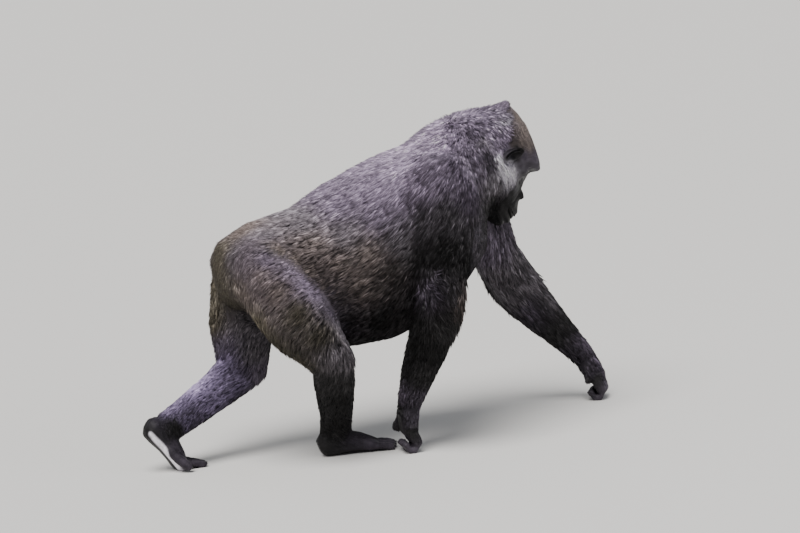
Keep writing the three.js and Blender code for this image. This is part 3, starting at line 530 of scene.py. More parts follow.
farForearmComb = [
    # Lighter than the near forearm, partly the pale fringe of hair at the elbow and partly a painted sheen on
    # the inner side and in front.
    (0.04, 270, 60, 0.95, 0.1, 40, 12, "grey", 0.1, 0.6, 0.12),
    (0.05, 0, 84, 0.95, 0.1, 46, 18, "grey", 0.13, 0.6, 0.2),
    (0.05, 180, 64, 0.95, 0, 40, 13, "black", 0.014, 0.6, 0.12),
    (0.26, 270, 56, 0.97, 0.05, 38, 10, "plum", 0.055, 0.55, 0.1),
    (0.28, 0, 70, 0.97, 0.05, 40, 13, "grey", 0.08, 0.55, 0.12),
    (0.28, 180, 58, 0.97, 0, 38, 11, "black", 0.008, 0.5, 0.11),
    (0.6, 270, 50, 0.97, 0, 34, 10, "black", 0.02, 0.5, 0.1),
    (0.6, 0, 54, 0.97, 0, 34, 11, "black", 0.02, 0.5, 0.11),
    (0.6, 180, 52, 0.97, 0, 34, 11, "black", 0.006, 0.5, 0.11),
    (0.4, 90, 52, 0.97, 0, 34, 11, "black", 0.006, 0.5, 0.12),
    (0.9, 270, 42, 0.97, 0, 30, 12, "plum", 0.05, 0.6, 0.12),
    (0.9, 0, 42, 0.97, 0, 32, 13, "lilac", 0.11, 0.7, 0.13),
    (0.9, 180, 42, 0.97, 0, 34, 14, "black", 0.008, 0.5, 0.14),
    (0.9, 90, 42, 0.97, 0, 24, 9, "black", 0.01, 0.5, 0.11),
]
handComb = [
    # The rows at 0, in front, are lighter lilac than the sides and underneath as a painted sheen.
    (0.15, 0, 30, 0.97, 0, 30, 12, "lilac", 0.08, 0.6, 0.12),
    (0.15, 90, 40, 0.97, 0, 28, 12, "plum", 0.036, 0.5, 0.12),
    (0.15, 270, 40, 0.97, 0, 28, 12, "plum", 0.036, 0.5, 0.12),
    (0.15, 180, 28, 0.97, 0, 16, 11, "black", 0.012, 0.4, 0.12),
    (0.6, 0, 28, 0.97, 0, 26, 12, "lilac", 0.09, 0.5, 0.12),
    (0.6, 90, 42, 0.97, 0, 22, 11, "plum", 0.03, 0.45, 0.12),
    (0.6, 270, 42, 0.97, 0, 22, 11, "plum", 0.03, 0.45, 0.12),
    (0.55, 180, 26, 0.97, 0, 0, 8, "black", 0.014, 0.3, 0.12),
    (1, 0, 22, 0.97, 0, 16, 10, "lilac", 0.06, 0.4, 0.12),
    (1, 90, 42, 0.97, 0, 6, 8, "black", 0.02, 0.4, 0.12),
    (1, 270, 42, 0.97, 0, 5, 8, "black", 0.02, 0.4, 0.12),
    (1, 180, 20, 0.97, 0, 0, 8, "black", 0.016, 0.3, 0.12),
    (1.35, 0, 26, 0.97, 0, 0, 8, "plum", 0.05, 0.3, 0.12),
    (1.4, 180, 14, 0.97, 0, 0, 8, "plum", 0.04, 0.3, 0.12),
    (1.8, 0, 14, 0.97, 0, 0, 8, "plum", 0.055, 0.3, 0.12),
]
thighComb = [
    (0, 90, 96, 0.1, 0.98, 36, 14, "brown", 0.2, 0.42, 0.11),
    (0, 170, 84, 0.5, 0.8, 34, 14, "brown", 0.125, 0.42, 0.12),
    # The rows at 20 and 15, along the thigh's front, are lighter lilac and grey as a painted sheen.
    (0.02, 20, 96, -0.12, 0.98, 34, 12, "lilac", 0.3, 0.34, 0.09),
    (0.25, 90, 92, 0.02, 0.99, 36, 13, "brown", 0.16, 0.42, 0.12),
    (0.25, 175, 108, 0.55, 0.8, 34, 14, "olive", 0.13, 0.42, 0.13),
    (0.28, 20, 88, -0.1, 0.98, 32, 10, "lilac", 0.42, 0.3, 0.08),
    (0.52, 90, 86, 0.05, 0.99, 36, 13, "olive", 0.08, 0.42, 0.12),
    (0.52, 175, 118, 0.55, 0.8, 34, 14, "olive", 0.055, 0.4, 0.14),
    (0.55, 15, 72, 0.05, 0.98, 30, 9, "grey", 0.18, 0.3, 0.08),
    (0.8, 90, 72, 0.3, 0.92, 36, 13, "olive", 0.05, 0.48, 0.14),
    (0.8, 175, 100, 0.55, 0.6, 32, 14, "olive", 0.045, 0.44, 0.16),
    (0.82, 10, 58, 0.6, 0.6, 28, 10, "grey", 0.08, 0.4, 0.12),
    (0.98, 90, 60, 0.85, 0.4, 34, 13, "grey", 0.145, 0.62, 0.16),
    (1, 10, 54, 0.95, 0.15, 32, 13, "grey", 0.11, 0.6, 0.14),
    (0.5, 270, 70, 0.95, 0, 26, 10, "black", 0.008, 0.35, 0.12),
    (0.1, 270, 60, 0.95, 0, 24, 10, "black", 0.008, 0.35, 0.12),
]
farThighComb = [
    # The rows at 10 and 0, in front, are darker than the sides as a painted shade of the fold against the
    # belly.
    (0.05, 270, 80, 0.8, 0.5, 30, 12, "brown", 0.1, 0.4, 0.12),
    (0.05, 180, 90, 0.7, 0.6, 32, 14, "olive", 0.1, 0.42, 0.12),
    (0.05, 90, 96, 0.1, 0.98, 36, 14, "brown", 0.17, 0.42, 0.11),
    (0.05, 10, 90, 0.1, 0.9, 34, 12, "grey", 0.1, 0.34, 0.09),
    (0.4, 270, 76, 0.85, 0.4, 30, 11, "grey", 0.095, 0.42, 0.12),
    (0.4, 180, 110, 0.75, 0.5, 34, 14, "olive", 0.085, 0.42, 0.13),
    (0.4, 90, 88, 0.1, 0.98, 36, 13, "brown", 0.14, 0.42, 0.12),
    (0.4, 10, 80, 0.1, 0.9, 30, 10, "grey", 0.05, 0.32, 0.09),
    (0.75, 270, 68, 0.9, 0.3, 30, 11, "grey", 0.078, 0.42, 0.12),
    (0.75, 180, 96, 0.8, 0.4, 32, 13, "plum", 0.095, 0.42, 0.13),
    (0.75, 90, 72, 0.3, 0.92, 34, 13, "olive", 0.095, 0.48, 0.13),
    (0.8, 10, 58, 0.6, 0.6, 28, 10, "grey", 0.03, 0.4, 0.12),
    (1, 270, 58, 0.97, 0.1, 30, 11, "plum", 0.08, 0.5, 0.12),
    (1, 0, 54, 0.97, 0.1, 30, 12, "grey", 0.028, 0.55, 0.14),
]
shinComb = [
    (0.2, 90, 56, 0.95, 0.3, 32, 11, "black", 0.024, 0.6, 0.12),
    (0.2, 0, 52, 0.97, 0.1, 30, 11, "black", 0.024, 0.6, 0.12),
    (0.2, 180, 70, 0.95, 0.2, 32, 12, "black", 0.018, 0.55, 0.12),
    (0.5, 90, 52, 0.95, 0.3, 28, 10, "black", 0.011, 0.55, 0.11),
    (0.5, 0, 52, 0.97, 0.1, 26, 10, "black", 0.016, 0.55, 0.11),
    (0.5, 180, 60, 0.97, 0.1, 28, 11, "black", 0.01, 0.5, 0.11),
    (0.5, 270, 52, 0.97, 0, 24, 9, "black", 0.012, 0.4, 0.11),
    (0.86, 90, 46, 0.97, 0.2, 24, 9, "black", 0.01, 0.5, 0.11),
    (0.86, 0, 46, 0.97, 0, 20, 9, "black", 0.01, 0.5, 0.11),
    (0.86, 180, 46, 0.97, 0, 24, 9, "black", 0.008, 0.5, 0.11),
    (0.86, 270, 46, 0.97, 0, 18, 8, "black", 0.012, 0.4, 0.11),
]
farShinComb = [
    # The rows at 180 and 270 are light violet as a painted sheen along the back and inner side of the shin.
    (0.2, 180, 66, 0.97, 0.1, 28, 10, "violet", 0.24, 0.26, 0.06),
    (0.55, 180, 56, 0.97, 0.05, 24, 9, "violet", 0.42, 0.26, 0.06),
    (0.88, 180, 46, 0.97, 0, 20, 8, "violet", 0.28, 0.28, 0.06),
    (0.2, 270, 56, 0.97, 0.1, 28, 10, "violet", 0.11, 0.3, 0.06),
    (0.55, 270, 52, 0.97, 0.05, 24, 9, "violet", 0.18, 0.3, 0.06),
    (0.88, 270, 44, 0.97, 0, 20, 8, "violet", 0.13, 0.3, 0.06),
    (0.2, 0, 52, 0.97, 0.1, 28, 11, "black", 0.02, 0.55, 0.11),
    (0.6, 0, 50, 0.97, 0.05, 24, 10, "black", 0.014, 0.55, 0.11),
    (0.88, 0, 44, 0.97, 0, 18, 9, "black", 0.02, 0.5, 0.11),
    (0.2, 90, 56, 0.95, 0.2, 30, 11, "plum", 0.046, 0.55, 0.11),
    (0.6, 90, 50, 0.97, 0.1, 26, 10, "plum", 0.046, 0.55, 0.11),
    (0.88, 90, 46, 0.97, 0, 20, 9, "plum", 0.037, 0.5, 0.11),
]
footComb = [  # along the foot from the ankle to the ball, in front being the top of the foot
    (0, 0, 44, 0.97, 0, 20, 9, "black", 0.018, 0.45, 0.12),
    (0, 90, 40, 0.97, 0, 14, 8, "black", 0.016, 0.45, 0.12),
    (0, 270, 40, 0.97, 0, 14, 8, "black", 0.016, 0.45, 0.12),
    (0.45, 0, 34, 0.97, 0, 14, 8, "plum", 0.026, 0.45, 0.12),
    (0.45, 90, 42, 0.97, 0, 6, 8, "plum", 0.026, 0.4, 0.12),
    (0.45, 270, 42, 0.97, 0, 5, 8, "plum", 0.026, 0.4, 0.12),
    (0.8, 0, 26, 0.97, 0, 8, 8, "plum", 0.034, 0.4, 0.12),
    (0.1, 180, 66, 0.97, 0, 0, 8, "black", 0.01, 0.3, 0.12),
    (-0.4, 150, 60, 0.97, 0, 4, 8, "black", 0.014, 0.3, 0.12),
    (0.5, 180, 30, 0.97, 0, 0, 8, "black", 0.01, 0.3, 0.12),
    (0.9, 180, 20, 0.97, 0, 0, 8, "black", 0.01, 0.3, 0.12),
    (1, 90, 44, 0.97, 0, 0, 8, "plum", 0.034, 0.3, 0.12),
    (1, 270, 44, 0.97, 0, 0, 8, "plum", 0.034, 0.3, 0.12),
    (1.5, 0, 10, 0.97, 0, 0, 8, "plum", 0.04, 0.3, 0.12),
]
report("combing places read")


combReach = {  # mm over which each table's rows are felt
    "trunk": 40, "neck": 20, "parting": 5, "fold": 6, "head": 9, "upperArm": 26, "forearm": 22,
    "hand": 9, "thigh": 26, "shin": 20, "foot": 9,
}
limbBones = {  # the limb that each bone is in, and the joints at its ends
    "upperArm": ("arm", "shoulder", "elbow"), "forearm": ("arm", "elbow", "wrist"),
    "hand": ("arm", "wrist", "root"), "thigh": ("leg", "hip", "knee"),
    "shin": ("leg", "knee", "ankle"), "foot": ("leg", "ankle", "ball"),
}
limbComb = {
    "right": {"upperArm": upperArmComb, "forearm": forearmComb, "hand": handComb,
              "thigh": thighComb, "shin": shinComb, "foot": footComb},
    "left": {"upperArm": farUpperArmComb, "forearm": farForearmComb, "hand": handComb,
             "thigh": farThighComb, "shin": farShinComb, "foot": footComb},
}


def combFrom(rows, part, mirrored=False, turn=None, origin=0):
    # rows to arrays: place and way in the body's frame, then length, stand, colour, contrast,
    # wander and the reach of the row
    places, ways, rest = [], [], []
    for at, lie, long, stand, hue, level, contrast, wander in rows:
        for side in ((1, -1) if mirrored and at[1] else (1,)):
            spot, along = (np.array(values, float) * (1, side, 1) for values in (at, lie))
            places.append(spot if turn is None else turn @ spot + origin)
            ways.append(along if turn is None else turn @ along)
            tint = np.array(hues[hue]) * level
            rest.append((long, stand, *tint, contrast, wander, combReach[part]))
    return np.array(places), unit(np.array(ways)), np.array(rest)


def limbRows(rows, start, end, front, side):
    # rows round a bone turned into places and ways in the body's frame
    axis = unit(end - start)
    ahead = unit(front - np.dot(front, axis) * axis)
    outer = np.array((0, 1.0 if side == "left" else -1.0, 0))
    outer = unit(outer - np.dot(outer, axis) * axis - np.dot(outer, ahead) * ahead)
    made = []
    for share, turn, off, along, back, *rest in rows:
        a = math.radians(turn)
        at = start + (end - start) * share + (ahead * math.cos(a) + outer * math.sin(a)) * off
        made.append((at, axis * along - ahead * back, *rest))
    return made


def stack(groups):
    return tuple(np.concatenate([group[k] for group in groups]) for k in range(3))


comb = {"trunk": stack([
    combFrom(trunkComb, "trunk", mirrored=True), combFrom(neckComb, "neck", mirrored=True),
    combFrom(partingComb, "parting", mirrored=True), combFrom(foldComb, "fold"),
    combFrom(headComb, "head", mirrored=True, turn=headTurn, origin=build["ear"])])}
for side, tables in limbComb.items():
    j = joints[side]
    fronts = {"arm": j["ahead"], "leg": j["sole"] @ (1, 0, 0), "foot": j["sole"] @ (0, 0, 1)}
    made = {"arm": [], "leg": []}
    for part, (limb, start, end) in limbBones.items():
        front = fronts.get(part, fronts[limb])
        made[limb].append(combFrom(limbRows(tables[part], j[start], j[end], front, side), part))
    made["leg"].append(combFrom(foldComb, "fold"))
    for limb, groups in made.items():
        comb[f"{limb}_{side}"] = stack(groups)

combPower = 2.2   # how sharply the nearest rows win


def combAt(places, group):
    # the mean of the combing places, each weighed by 1 / (distance^2 + reach^2)^power
    spots, ways, rest = comb[group]
    lies, values = [], []
    for part in np.array_split(places, max(1, len(places) // 20000)):
        gap = (part ** 2).sum(1)[:, None] - 2 * part @ spots.T + (spots ** 2).sum(1)[None]
        weight = (np.maximum(gap, 0) + rest[:, 7] ** 2) ** -combPower
        weight /= weight.sum(1, keepdims=True)
        lies.append(weight @ ways)
        values.append(weight @ rest[:, :7])
    return unit(np.concatenate(lies)), np.concatenate(values)


# which part of the body a place belongs to

bones = {  # start, end, and the body's radius round each, in mm
    "trunk_rump": ((-400, 0, 560), (-220, 0, 530), 110, 185),
    "trunk_belly": ((-220, 0, 530), (60, 0, 545), 185, 240),
    "trunk_chest": ((60, 0, 560), (260, 0, 680), 235, 175),
    "trunk_neck": ((225, 0, 742), (345, 0, 775), 138, 125),
    "trunk_head": ((372, 0, 800), (452, 0, 668), 92, 76),
}
for side in ("right", "left"):
    j = joints[side]
    bones[f"arm_{side}_upper"] = (j["shoulder"], j["elbow"], 84, 66)
    bones[f"arm_{side}_fore"] = (j["elbow"], j["wrist"], 66, 42)
    bones[f"arm_{side}_hand"] = (j["wrist"], j["knuckle"], 38, 36)
    bones[f"leg_{side}_thigh"] = (j["hip"], j["knee"], 92, 66)
    bones[f"leg_{side}_shin"] = (j["knee"], j["ankle"], 60, 46)
    bones[f"leg_{side}_foot"] = (j["heel"] + j["sole"] @ (30, 0, 36), j["ball"], 38, 36)
boneNames = list(bones)


def boneGaps(places):
    # distance from every place to each bone's line, less the body's radius there
    away = []
    for start, end, first, last in bones.values():
        start, span = np.array(start, float), np.subtract(end, start)
        t = np.clip((places - start) @ span / (span @ span), 0, 1)
        away.append(np.linalg.norm(places - start - t[:, None] * span, axis=1) - first - (last - first) * t)
    return np.stack(away)


groupBones = {group: [i for i, name in enumerate(boneNames) if name.startswith(group)] for group in comb}
mergeReach = 16.0   # mm over which the combing of two parts of the body runs together


def combEverywhere(places):
    # every part's comb, weighed by e to the minus of how much further off that part is
    away = boneGaps(places)
    gaps = {group: away[rows].min(0) for group, rows in groupBones.items()}
    nearest = np.min(list(gaps.values()), 0)
    lies, values, total = np.zeros((len(places), 3)), np.zeros((len(places), 7)), np.zeros(len(places))
    for group, gap in gaps.items():
        weight = np.exp((nearest - gap) / mergeReach)
        here = np.flatnonzero(weight > 0.03)
        if len(here):
            lie, value = combAt(places[here], group)
            lies[here] += lie * weight[here, None]
            values[here] += value * weight[here, None]
            total[here] += weight[here]
    return unit(lies), values / total[:, None], np.argmin(away, 0)


# the skin

skinMake = {
    "voxel": 0.003,            # size of the first even mesh
    "swell": 0.0005,           # closes the clearances between the solids
    "bare": (6, 22),           # mm of coat below which skin counts as bare, and above which as furred
    "bodyRelax": (0.95, 150),  # share and rounds that smooth the furred body
    "fineRounds": 12,          # rounds that take the facets from all of it
    "fleshKept": 0.92,         # share of the coat's height that the skin lies inside the solids
    "lastRelax": (0.5, 6),
    "fullHand": 0.0055,        # flesh added round each palm
    "faces": 78000,            # before the face is divided
    "floor": 0.0003,
}
flesh = [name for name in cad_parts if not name.startswith("eye_")]


def mergedNode(name):
    # a node's loose corners made one where they share a place, and the whole swelled a little
    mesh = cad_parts[name].data
    merged, index = np.unique(np.round(pointsOf(mesh), 6), axis=0, return_inverse=True)
    triangles = index.ravel()[trianglesOf(mesh)]
    kept = (triangles != np.roll(triangles, 1, axis=1)).all(1)
    triangles = triangles[kept]
    return merged + normalsOf(merged, triangles) * skinMake["swell"], triangles


def evaluated(thing):
    # a new mesh with the object's modifiers applied
    return bpy.data.meshes.new_from_object(thing.evaluated_get(bpy.context.evaluated_depsgraph_get()))


def blurred(values, ends, rounds):
    # one number for each point, evened out with its neighbours'
    tripled = np.repeat(values[:, None], 3, 1)
    return relax(tripled, ends, np.full(len(values), 0.8), rounds)[:, 0]


allPoints, allTriangles, count = [], [], 0
for name in flesh:
    points, triangles = mergedNode(name)
    allPoints.append(points)
    allTriangles.append(triangles + count)
    count += len(points)
triangles = np.concatenate(allTriangles)
raw = meshFrom("raw_flesh", np.concatenate(allPoints), triangles.ravel(), np.full(len(triangles), 3))
remesh = raw.modifiers.new("even", "REMESH")
remesh.mode = "VOXEL"
remesh.voxel_size = skinMake["voxel"]
remesh.adaptivity = 0
even = evaluated(raw)
bpy.data.objects.remove(raw)
points = pointsOf(even)
ends = edgesOf(even)
report(f"even skin of {len(points)} points")

body = toBody(points)
_, values, which = combEverywhere(body)
fine = 1 - smoothStep(*skinMake["bare"], values[:, 0])
head = toHead(points)
onHead = which == boneNames.index("trunk_head")
faceArea = onHead * smoothStep(-30, 10, head[:, 0])
nearEar = np.hypot((head[:, 0] + 2) / 24, (head[:, 2] - 4) / 38) < 1
nearEar &= np.abs(head[:, 1]) > 84
keep = np.clip(fine + faceArea * 0.6 + nearEar, 0, 1)   # 1 where the solids' own shape stays
share, rounds = skinMake["bodyRelax"]
points = relax(points, ends, share * (1 - keep), rounds)
points = evened(points, ends, np.full(len(points), 1.0), skinMake["fineRounds"])
normals = normalsOf(points, trianglesOf(even))
depth = values[:, 0] * np.sin(np.radians(values[:, 1])) * skinMake["fleshKept"] / 1000
points = points - normals * blurred(depth, ends, 30)[:, None]
share, rounds = skinMake["lastRelax"]
points = relax(points, ends, np.full(len(points), share) * (1 - keep), rounds)
onHand = np.isin(which, [boneNames.index(f"arm_{side}_hand") for side in joints])
fuller = blurred(onHand * smoothStep(14, 30, body[:, 2]), ends, 20)
points = points + normals * (fuller * skinMake["fullHand"])[:, None]
even.vertices.foreach_set("co", points.astype(np.float32).ravel())
even.update()
skin = bpy.data.objects.new("skin", even)
bpy.context.scene.collection.objects.link(skin)
report("skin rounded and drawn in under the coat")

# the furred skin is thinned, and the bare face, hands and feet keep every point
levels = 10
thin = skin.vertex_groups.new(name="furred")
level = np.round((1 - keep) * levels).astype(int)
for step in range(1, levels + 1):
    members = np.flatnonzero(level == step)
    if len(members):
        thin.add(members.tolist(), step / levels, "REPLACE")
decimate = skin.modifiers.new("thinned", "DECIMATE")
decimate.vertex_group = "furred"
decimate.vertex_group_factor = 10
decimate.ratio = skinMake["faces"] / (len(even.polygons) * 2)
decimate.use_collapse_triangulate = True
thinned = evaluated(skin)
skin.modifiers.clear()
skin.vertex_groups.clear()
skin.data = thinned
report(f"thinned skin of {len(thinned.polygons)} faces")

# the face

faceMake = {
    # mounds on the face: y, u, reach in y and u, rise in mm, on both sides
    "mounds": [
        ("brow bar", 30, 40, 26, 8, 2.5), ("brow between the eyes", 0, 36, 16, 8, 2.0),
        ("eye socket", 33, 10, 18, 9, -4.0), ("under the brow", 16, 18, 8, 8, -2.5),
        ("cheek bone", 58, -4, 16, 8, 3.0), ("bridge", 0, 2, 8, 20, 2.0),
        ("pad of the nose", 0, -42, 9, 8, 2.5), ("wing", 23, -46, 8, 11, 3.5),
        ("above the wing", 18, -30, 12, 5, -2.0), ("upper lip", 18, -94, 30, 13, 6.0),
        ("where the lips first met", 0, -99, 54, 5.5, 5.5), ("lower lip", 8, -122, 28, 7, 7.5),
        ("under the lip", 0, -130, 22, 4, -1.5), ("chin", 0, -142, 26, 10, 6.5),
        ("beside the mouth", 48, -88, 10, 18, 2.5),
    ],
    # creases: ends (y, u), width and depth in mm, on both sides
    "creases": [
        ((27, -34), (52, -92), 3.0, 2.6), ((52, -98), (58, -120), 3.0, 1.5),
        ((14, -2), (34, -18), 2.2, 1.8), ((34, -18), (54, -12), 2.2, 1.6),
        ((16, -10), (36, -27), 2.2, 1.4), ((36, -27), (60, -22), 2.4, 1.2),
        ((18, -20), (34, -36), 2.0, 1.0), ((44, -34), (58, -62), 2.4, 1.0),
        ((0, -34), (0, -62), 1.6, 1.4), ((5, 30), (7, 50), 1.8, 1.2),
        ((0, 24), (12, 20), 1.6, 1.4), ((0, 17), (11, 13), 1.6, 1.3), ((0, 10), (10, 6), 1.5, 1.0),
        ((12, 27), (52, 26), 2.2, 1.6), ((56, 22), (72, 10), 2.2, 1.0), ((58, 12), (74, 0), 2.2, 1.0),
        ((16, 49), (50, 47), 3.0, 0.8),
    ],
    "nostril": {"y": 13, "u": -51, "reachY": 6.5, "reachU": 4.6, "deep": 9.0, "rim": 2.4},
    "mouth": {"u": -113.5, "lift": 8.0, "half": 50, "width": 1.8, "deep": 4.0},
    "lipFolds": {"rise": 0.35, "turn": 1.15, "place": (14, -96), "reach": (30, 9)},
    "lids": {"half": 9.6, "upper": 3.7, "lower": 3.0, "cover": 1.7, "edge": 0.9, "behind": 1.6,
             "slant": 0.10, "reach": 15, "deepest": 26},
    # half width, lowest and highest u and least f of the skin that is divided once, or twice
    "once": (86, -148, 56, 48), "nose": (28, -62, -36, 90), "lips": (54, -119, -103, 80),
    "eyeArea": (80, 33, 13, 19),   # f, y, u and reach
    # reach across and up an ear, and how far inwards, of the skin divided once and twice
    "earOnce": (22, 35, -9), "earTwice": (20, 32, -5),
}
earMake = {
    "f": -2, "u": 4, "out": 91, "turn": -24, "tilt": -8, "tall": 30, "deep": 18, "lean": 0.27,
    # rises in mm, each where the share of the way out is, and its width
    "rim": (4.6, 0.89, 0.11), "groove": (2.6, 0.69, 0.09), "innerRidge": (2.4, 0.50, 0.10),
    # rise, place and reach, across and up
    "bowl": (-7.0, 2, -4, 6.5, 10), "upperBowl": (-2.5, 4, 12, 5, 5),
    "flap": (4.5, 11, -6, 3, 4.5), "lobe": (2.0, 1, -27, 7, 5),
    "plate": 3.4, "rearPlate": 1.2, "wider": 0.24, "taller": 0.13,
}


def subdivided(mesh, chosen):
    # every edge with both ends chosen is halved, and its faces are filled again as triangles
    shell = bmesh.new()
    shell.from_mesh(mesh)
    flags = chosen[edgesOf(mesh)].all(1)
    shell.edges.ensure_lookup_table()
    edges = [shell.edges[i] for i in np.flatnonzero(flags)]
    bmesh.ops.subdivide_edges(shell, edges=edges, cuts=1, use_grid_fill=True)
    bmesh.ops.triangulate(shell, faces=[face for face in shell.faces if len(face.verts) > 3])
    shell.to_mesh(mesh)
    shell.free()
    mesh.update()


def flipped(places, side):
    # the same places with y turned over where side is -1
    return places * np.stack([np.ones(len(side)), side, np.ones(len(side))], 1)


def ringRise(ring, rise, where, width):
    # a bell curve across a ring, at its share of the way out
    return rise * np.exp(-((ring - where) / width) ** 2)


def creaseDepth(y, u, start, end, width, deep):
    # distance to a straight stroke, in widths, through a bell curve; it fades at both ends
    start, end = np.array(start, float), np.array(end, float)
    span = end - start
    t = ((y - start[0]) * span[0] + (u - start[1]) * span[1]) / (span @ span)
    c = np.clip(t, 0, 1)
    away = np.hypot(y - start[0] - c * span[0], u - start[1] - c * span[1])
    return deep * np.exp(-(away / width) ** 2) * (0.5 + 0.5 * np.sin(np.pi * np.clip(t, 0.06, 0.94)))


def sculptFace(points, normals):
    # adds mounds, creases, nostrils, mouth and folds to the face, in the head's own f, y and u
    ways = normals @ headTurn
    f, y, u = toHead(points).T
    side = np.abs(y)
    facing = smoothStep(0.1, 0.55, ways[:, 0]) * smoothStep(20, 50, f)
    rise = np.zeros(len(points))
    for _, moundY, moundU, reachY, reachU, height in faceMake["mounds"]:
        rise += height * softSpot(side - moundY, u - moundU, reachY, reachU)
    for start, end, width, deep in faceMake["creases"]:
        rise -= creaseDepth(side, u, start, end, width, deep)
    nose = faceMake["nostril"]
    ring = np.hypot((side - nose["y"]) / nose["reachY"], (u - nose["u"]) / nose["reachU"])
    rise += ringRise(ring, nose["rim"], 1.45, 0.45)
    rise -= nose["deep"] * (1 - smoothStep(0.55, 1.15, ring))
    mouth = faceMake["mouth"]
    line = mouth["u"] + mouth["lift"] * (side / mouth["half"]) ** 2
    along = 1 - smoothStep(mouth["half"] * 0.8, mouth["half"], side)
    rise -= mouth["deep"] * along * np.exp(-((u - line) / mouth["width"]) ** 2)
    folds = faceMake["lipFolds"]
    spot = softSpot(side - folds["place"][0], u - folds["place"][1], *folds["reach"])
    rise += folds["rise"] * np.cos(side * folds["turn"]) * spot
    return points + normals * (rise * facing / 1000)[:, None]


def sculptLids(points):
    # lids: a shell just over each ball, open along an almond, with the skin drawn in behind it
    lids = faceMake["lids"]
    ball = np.array(build["eye"], float)
    place = toHead(points)
    mirror = np.where(place[:, 1] < 0, -1.0, 1.0)
    out = flipped(place, mirror) - ball
    across, high = out[:, 1], out[:, 2] + lids["slant"] * out[:, 1]
    reach = np.linalg.norm(out, axis=1)
    share = 1 - np.clip(across / lids["half"], -1, 1) ** 2
    opening = np.where(high > 0, lids["upper"], lids["lower"]) * share ** 0.8
    inside = 1 - smoothStep(-0.7, 0.5, np.abs(high) - opening)
    radius = build["eyeRadius"] + lids["cover"] + ringRise(np.abs(high) - opening, lids["edge"], 0.8, 1.2)
    radius = radius * (1 - inside) + (build["eyeRadius"] - lids["behind"]) * inside
    hold = 1 - smoothStep(lids["reach"] - 4, lids["reach"] + 3, np.hypot(across, high))
    hold = hold * smoothStep(-2, 3, out[:, 0]) * (reach < lids["deepest"])
    wanted = out / np.maximum(reach, 1e-6)[:, None] * radius[:, None]
    out = out + (wanted - out) * hold[:, None]
    return np.where((hold > 0)[:, None], fromHead(flipped(out + ball, mirror)), points)


def earPlace(points):
    # places beside the head in the ear's own axes: across its depth, outwards and up its height
    turn = turned("Z", earMake["turn"]) @ turned("X", earMake["tilt"])
    f, y, u = toHead(points).T
    centred = np.stack([f - earMake["f"], np.abs(y) - earMake["out"], u - earMake["u"]], 1)
    return centred @ turn, turn, np.sign(y)


def sculptEars(points):
    # hollows each ear inside its rolled rim, and leans its top towards the face
    local, turn, side = earPlace(points)
    a, n, h = local.T
    ring = np.hypot(a / earMake["deep"], h / earMake["tall"])
    outer = smoothStep(-3, 1, n) * (ring < 1.3)
    rearward = smoothStep(7, -5, a - h * 0.25)
    rise = ringRise(ring, *earMake["rim"]) * (0.35 + 0.65 * rearward)
    rise -= ringRise(ring, *earMake["groove"]) * rearward
    rise += ringRise(ring, *earMake["innerRidge"]) * smoothStep(3, -5, a)
    for part in ("bowl", "upperBowl", "flap", "lobe"):
        height, across, up, reachAcross, reachUp = earMake[part]
        rise += height * softSpot(a - across, h - up, reachAcross, reachUp)
    plate = earMake["plate"] + earMake["rearPlate"] * smoothStep(6, -14, a)
    rise += plate * (1 - smoothStep(0.98, 1.18, ring))
    grown = [earMake["wider"] * a * outer, rise * outer, earMake["taller"] * h * outer]
    place = (local + np.stack(grown, 1)) @ turn.T
    weight = smoothStep(1.5, 1.0, ring) * smoothStep(-12, -4, n)
    place[:, 0] += earMake["lean"] * h * weight
    place = flipped(place + (earMake["f"], earMake["out"], earMake["u"]), side)
    return np.where((weight > 0)[:, None], fromHead(place), points)


def faceRegion(points, narrow=False):
    # the skin of the face and ears that is divided once, or the finer parts that are divided twice
    f, y, u = toHead(points).T
    side = np.abs(y)
    local = earPlace(points)[0]

    def patch(half, low, high, ahead):
        return (side < half) & (u > low) & (u < high) & (f > ahead)

    def nearEar(across, up, inwards):
        return (np.hypot(local[:, 0] / across, local[:, 2] / up) < 1) & (local[:, 1] > inwards)

    if not narrow:
        return patch(*faceMake["once"]) | nearEar(*faceMake["earOnce"])
    eyeF, eyeY, eyeU, reach = faceMake["eyeArea"]
    nearEye = np.hypot(np.hypot(side - eyeY, u - eyeU), (f - eyeF) * 0.5) < reach
    return nearEye | patch(*faceMake["nose"]) | patch(*faceMake["lips"]) | nearEar(*faceMake["earTwice"])


skinMesh = skin.data
subdivided(skinMesh, faceRegion(pointsOf(skinMesh)))
subdivided(skinMesh, faceRegion(pointsOf(skinMesh), narrow=True))
points = pointsOf(skinMesh)
ends = edgesOf(skinMesh)
points = relax(points, ends, 0.5 * faceRegion(points), 3)
f, y, u = toHead(points).T
browEdge = smoothStep(88, 100, f) * smoothStep(4, 14, u) * smoothStep(60, 48, u)
browEdge = browEdge * smoothStep(62, 50, np.abs(y))
points = relax(points, ends, 0.6 * browEdge, 40)
triangles = trianglesOf(skinMesh)
points = sculptFace(points, normalsOf(points, triangles))
points = sculptEars(sculptLids(points))
points[:, 2] = np.maximum(points[:, 2], skinMake["floor"])
skinMesh.vertices.foreach_set("co", points.astype(np.float32).ravel())
skinMesh.update()
skinMesh.shade_smooth()
report(f"face modelled, skin of {len(triangles)} faces")

# colours shared by the skin and the coat

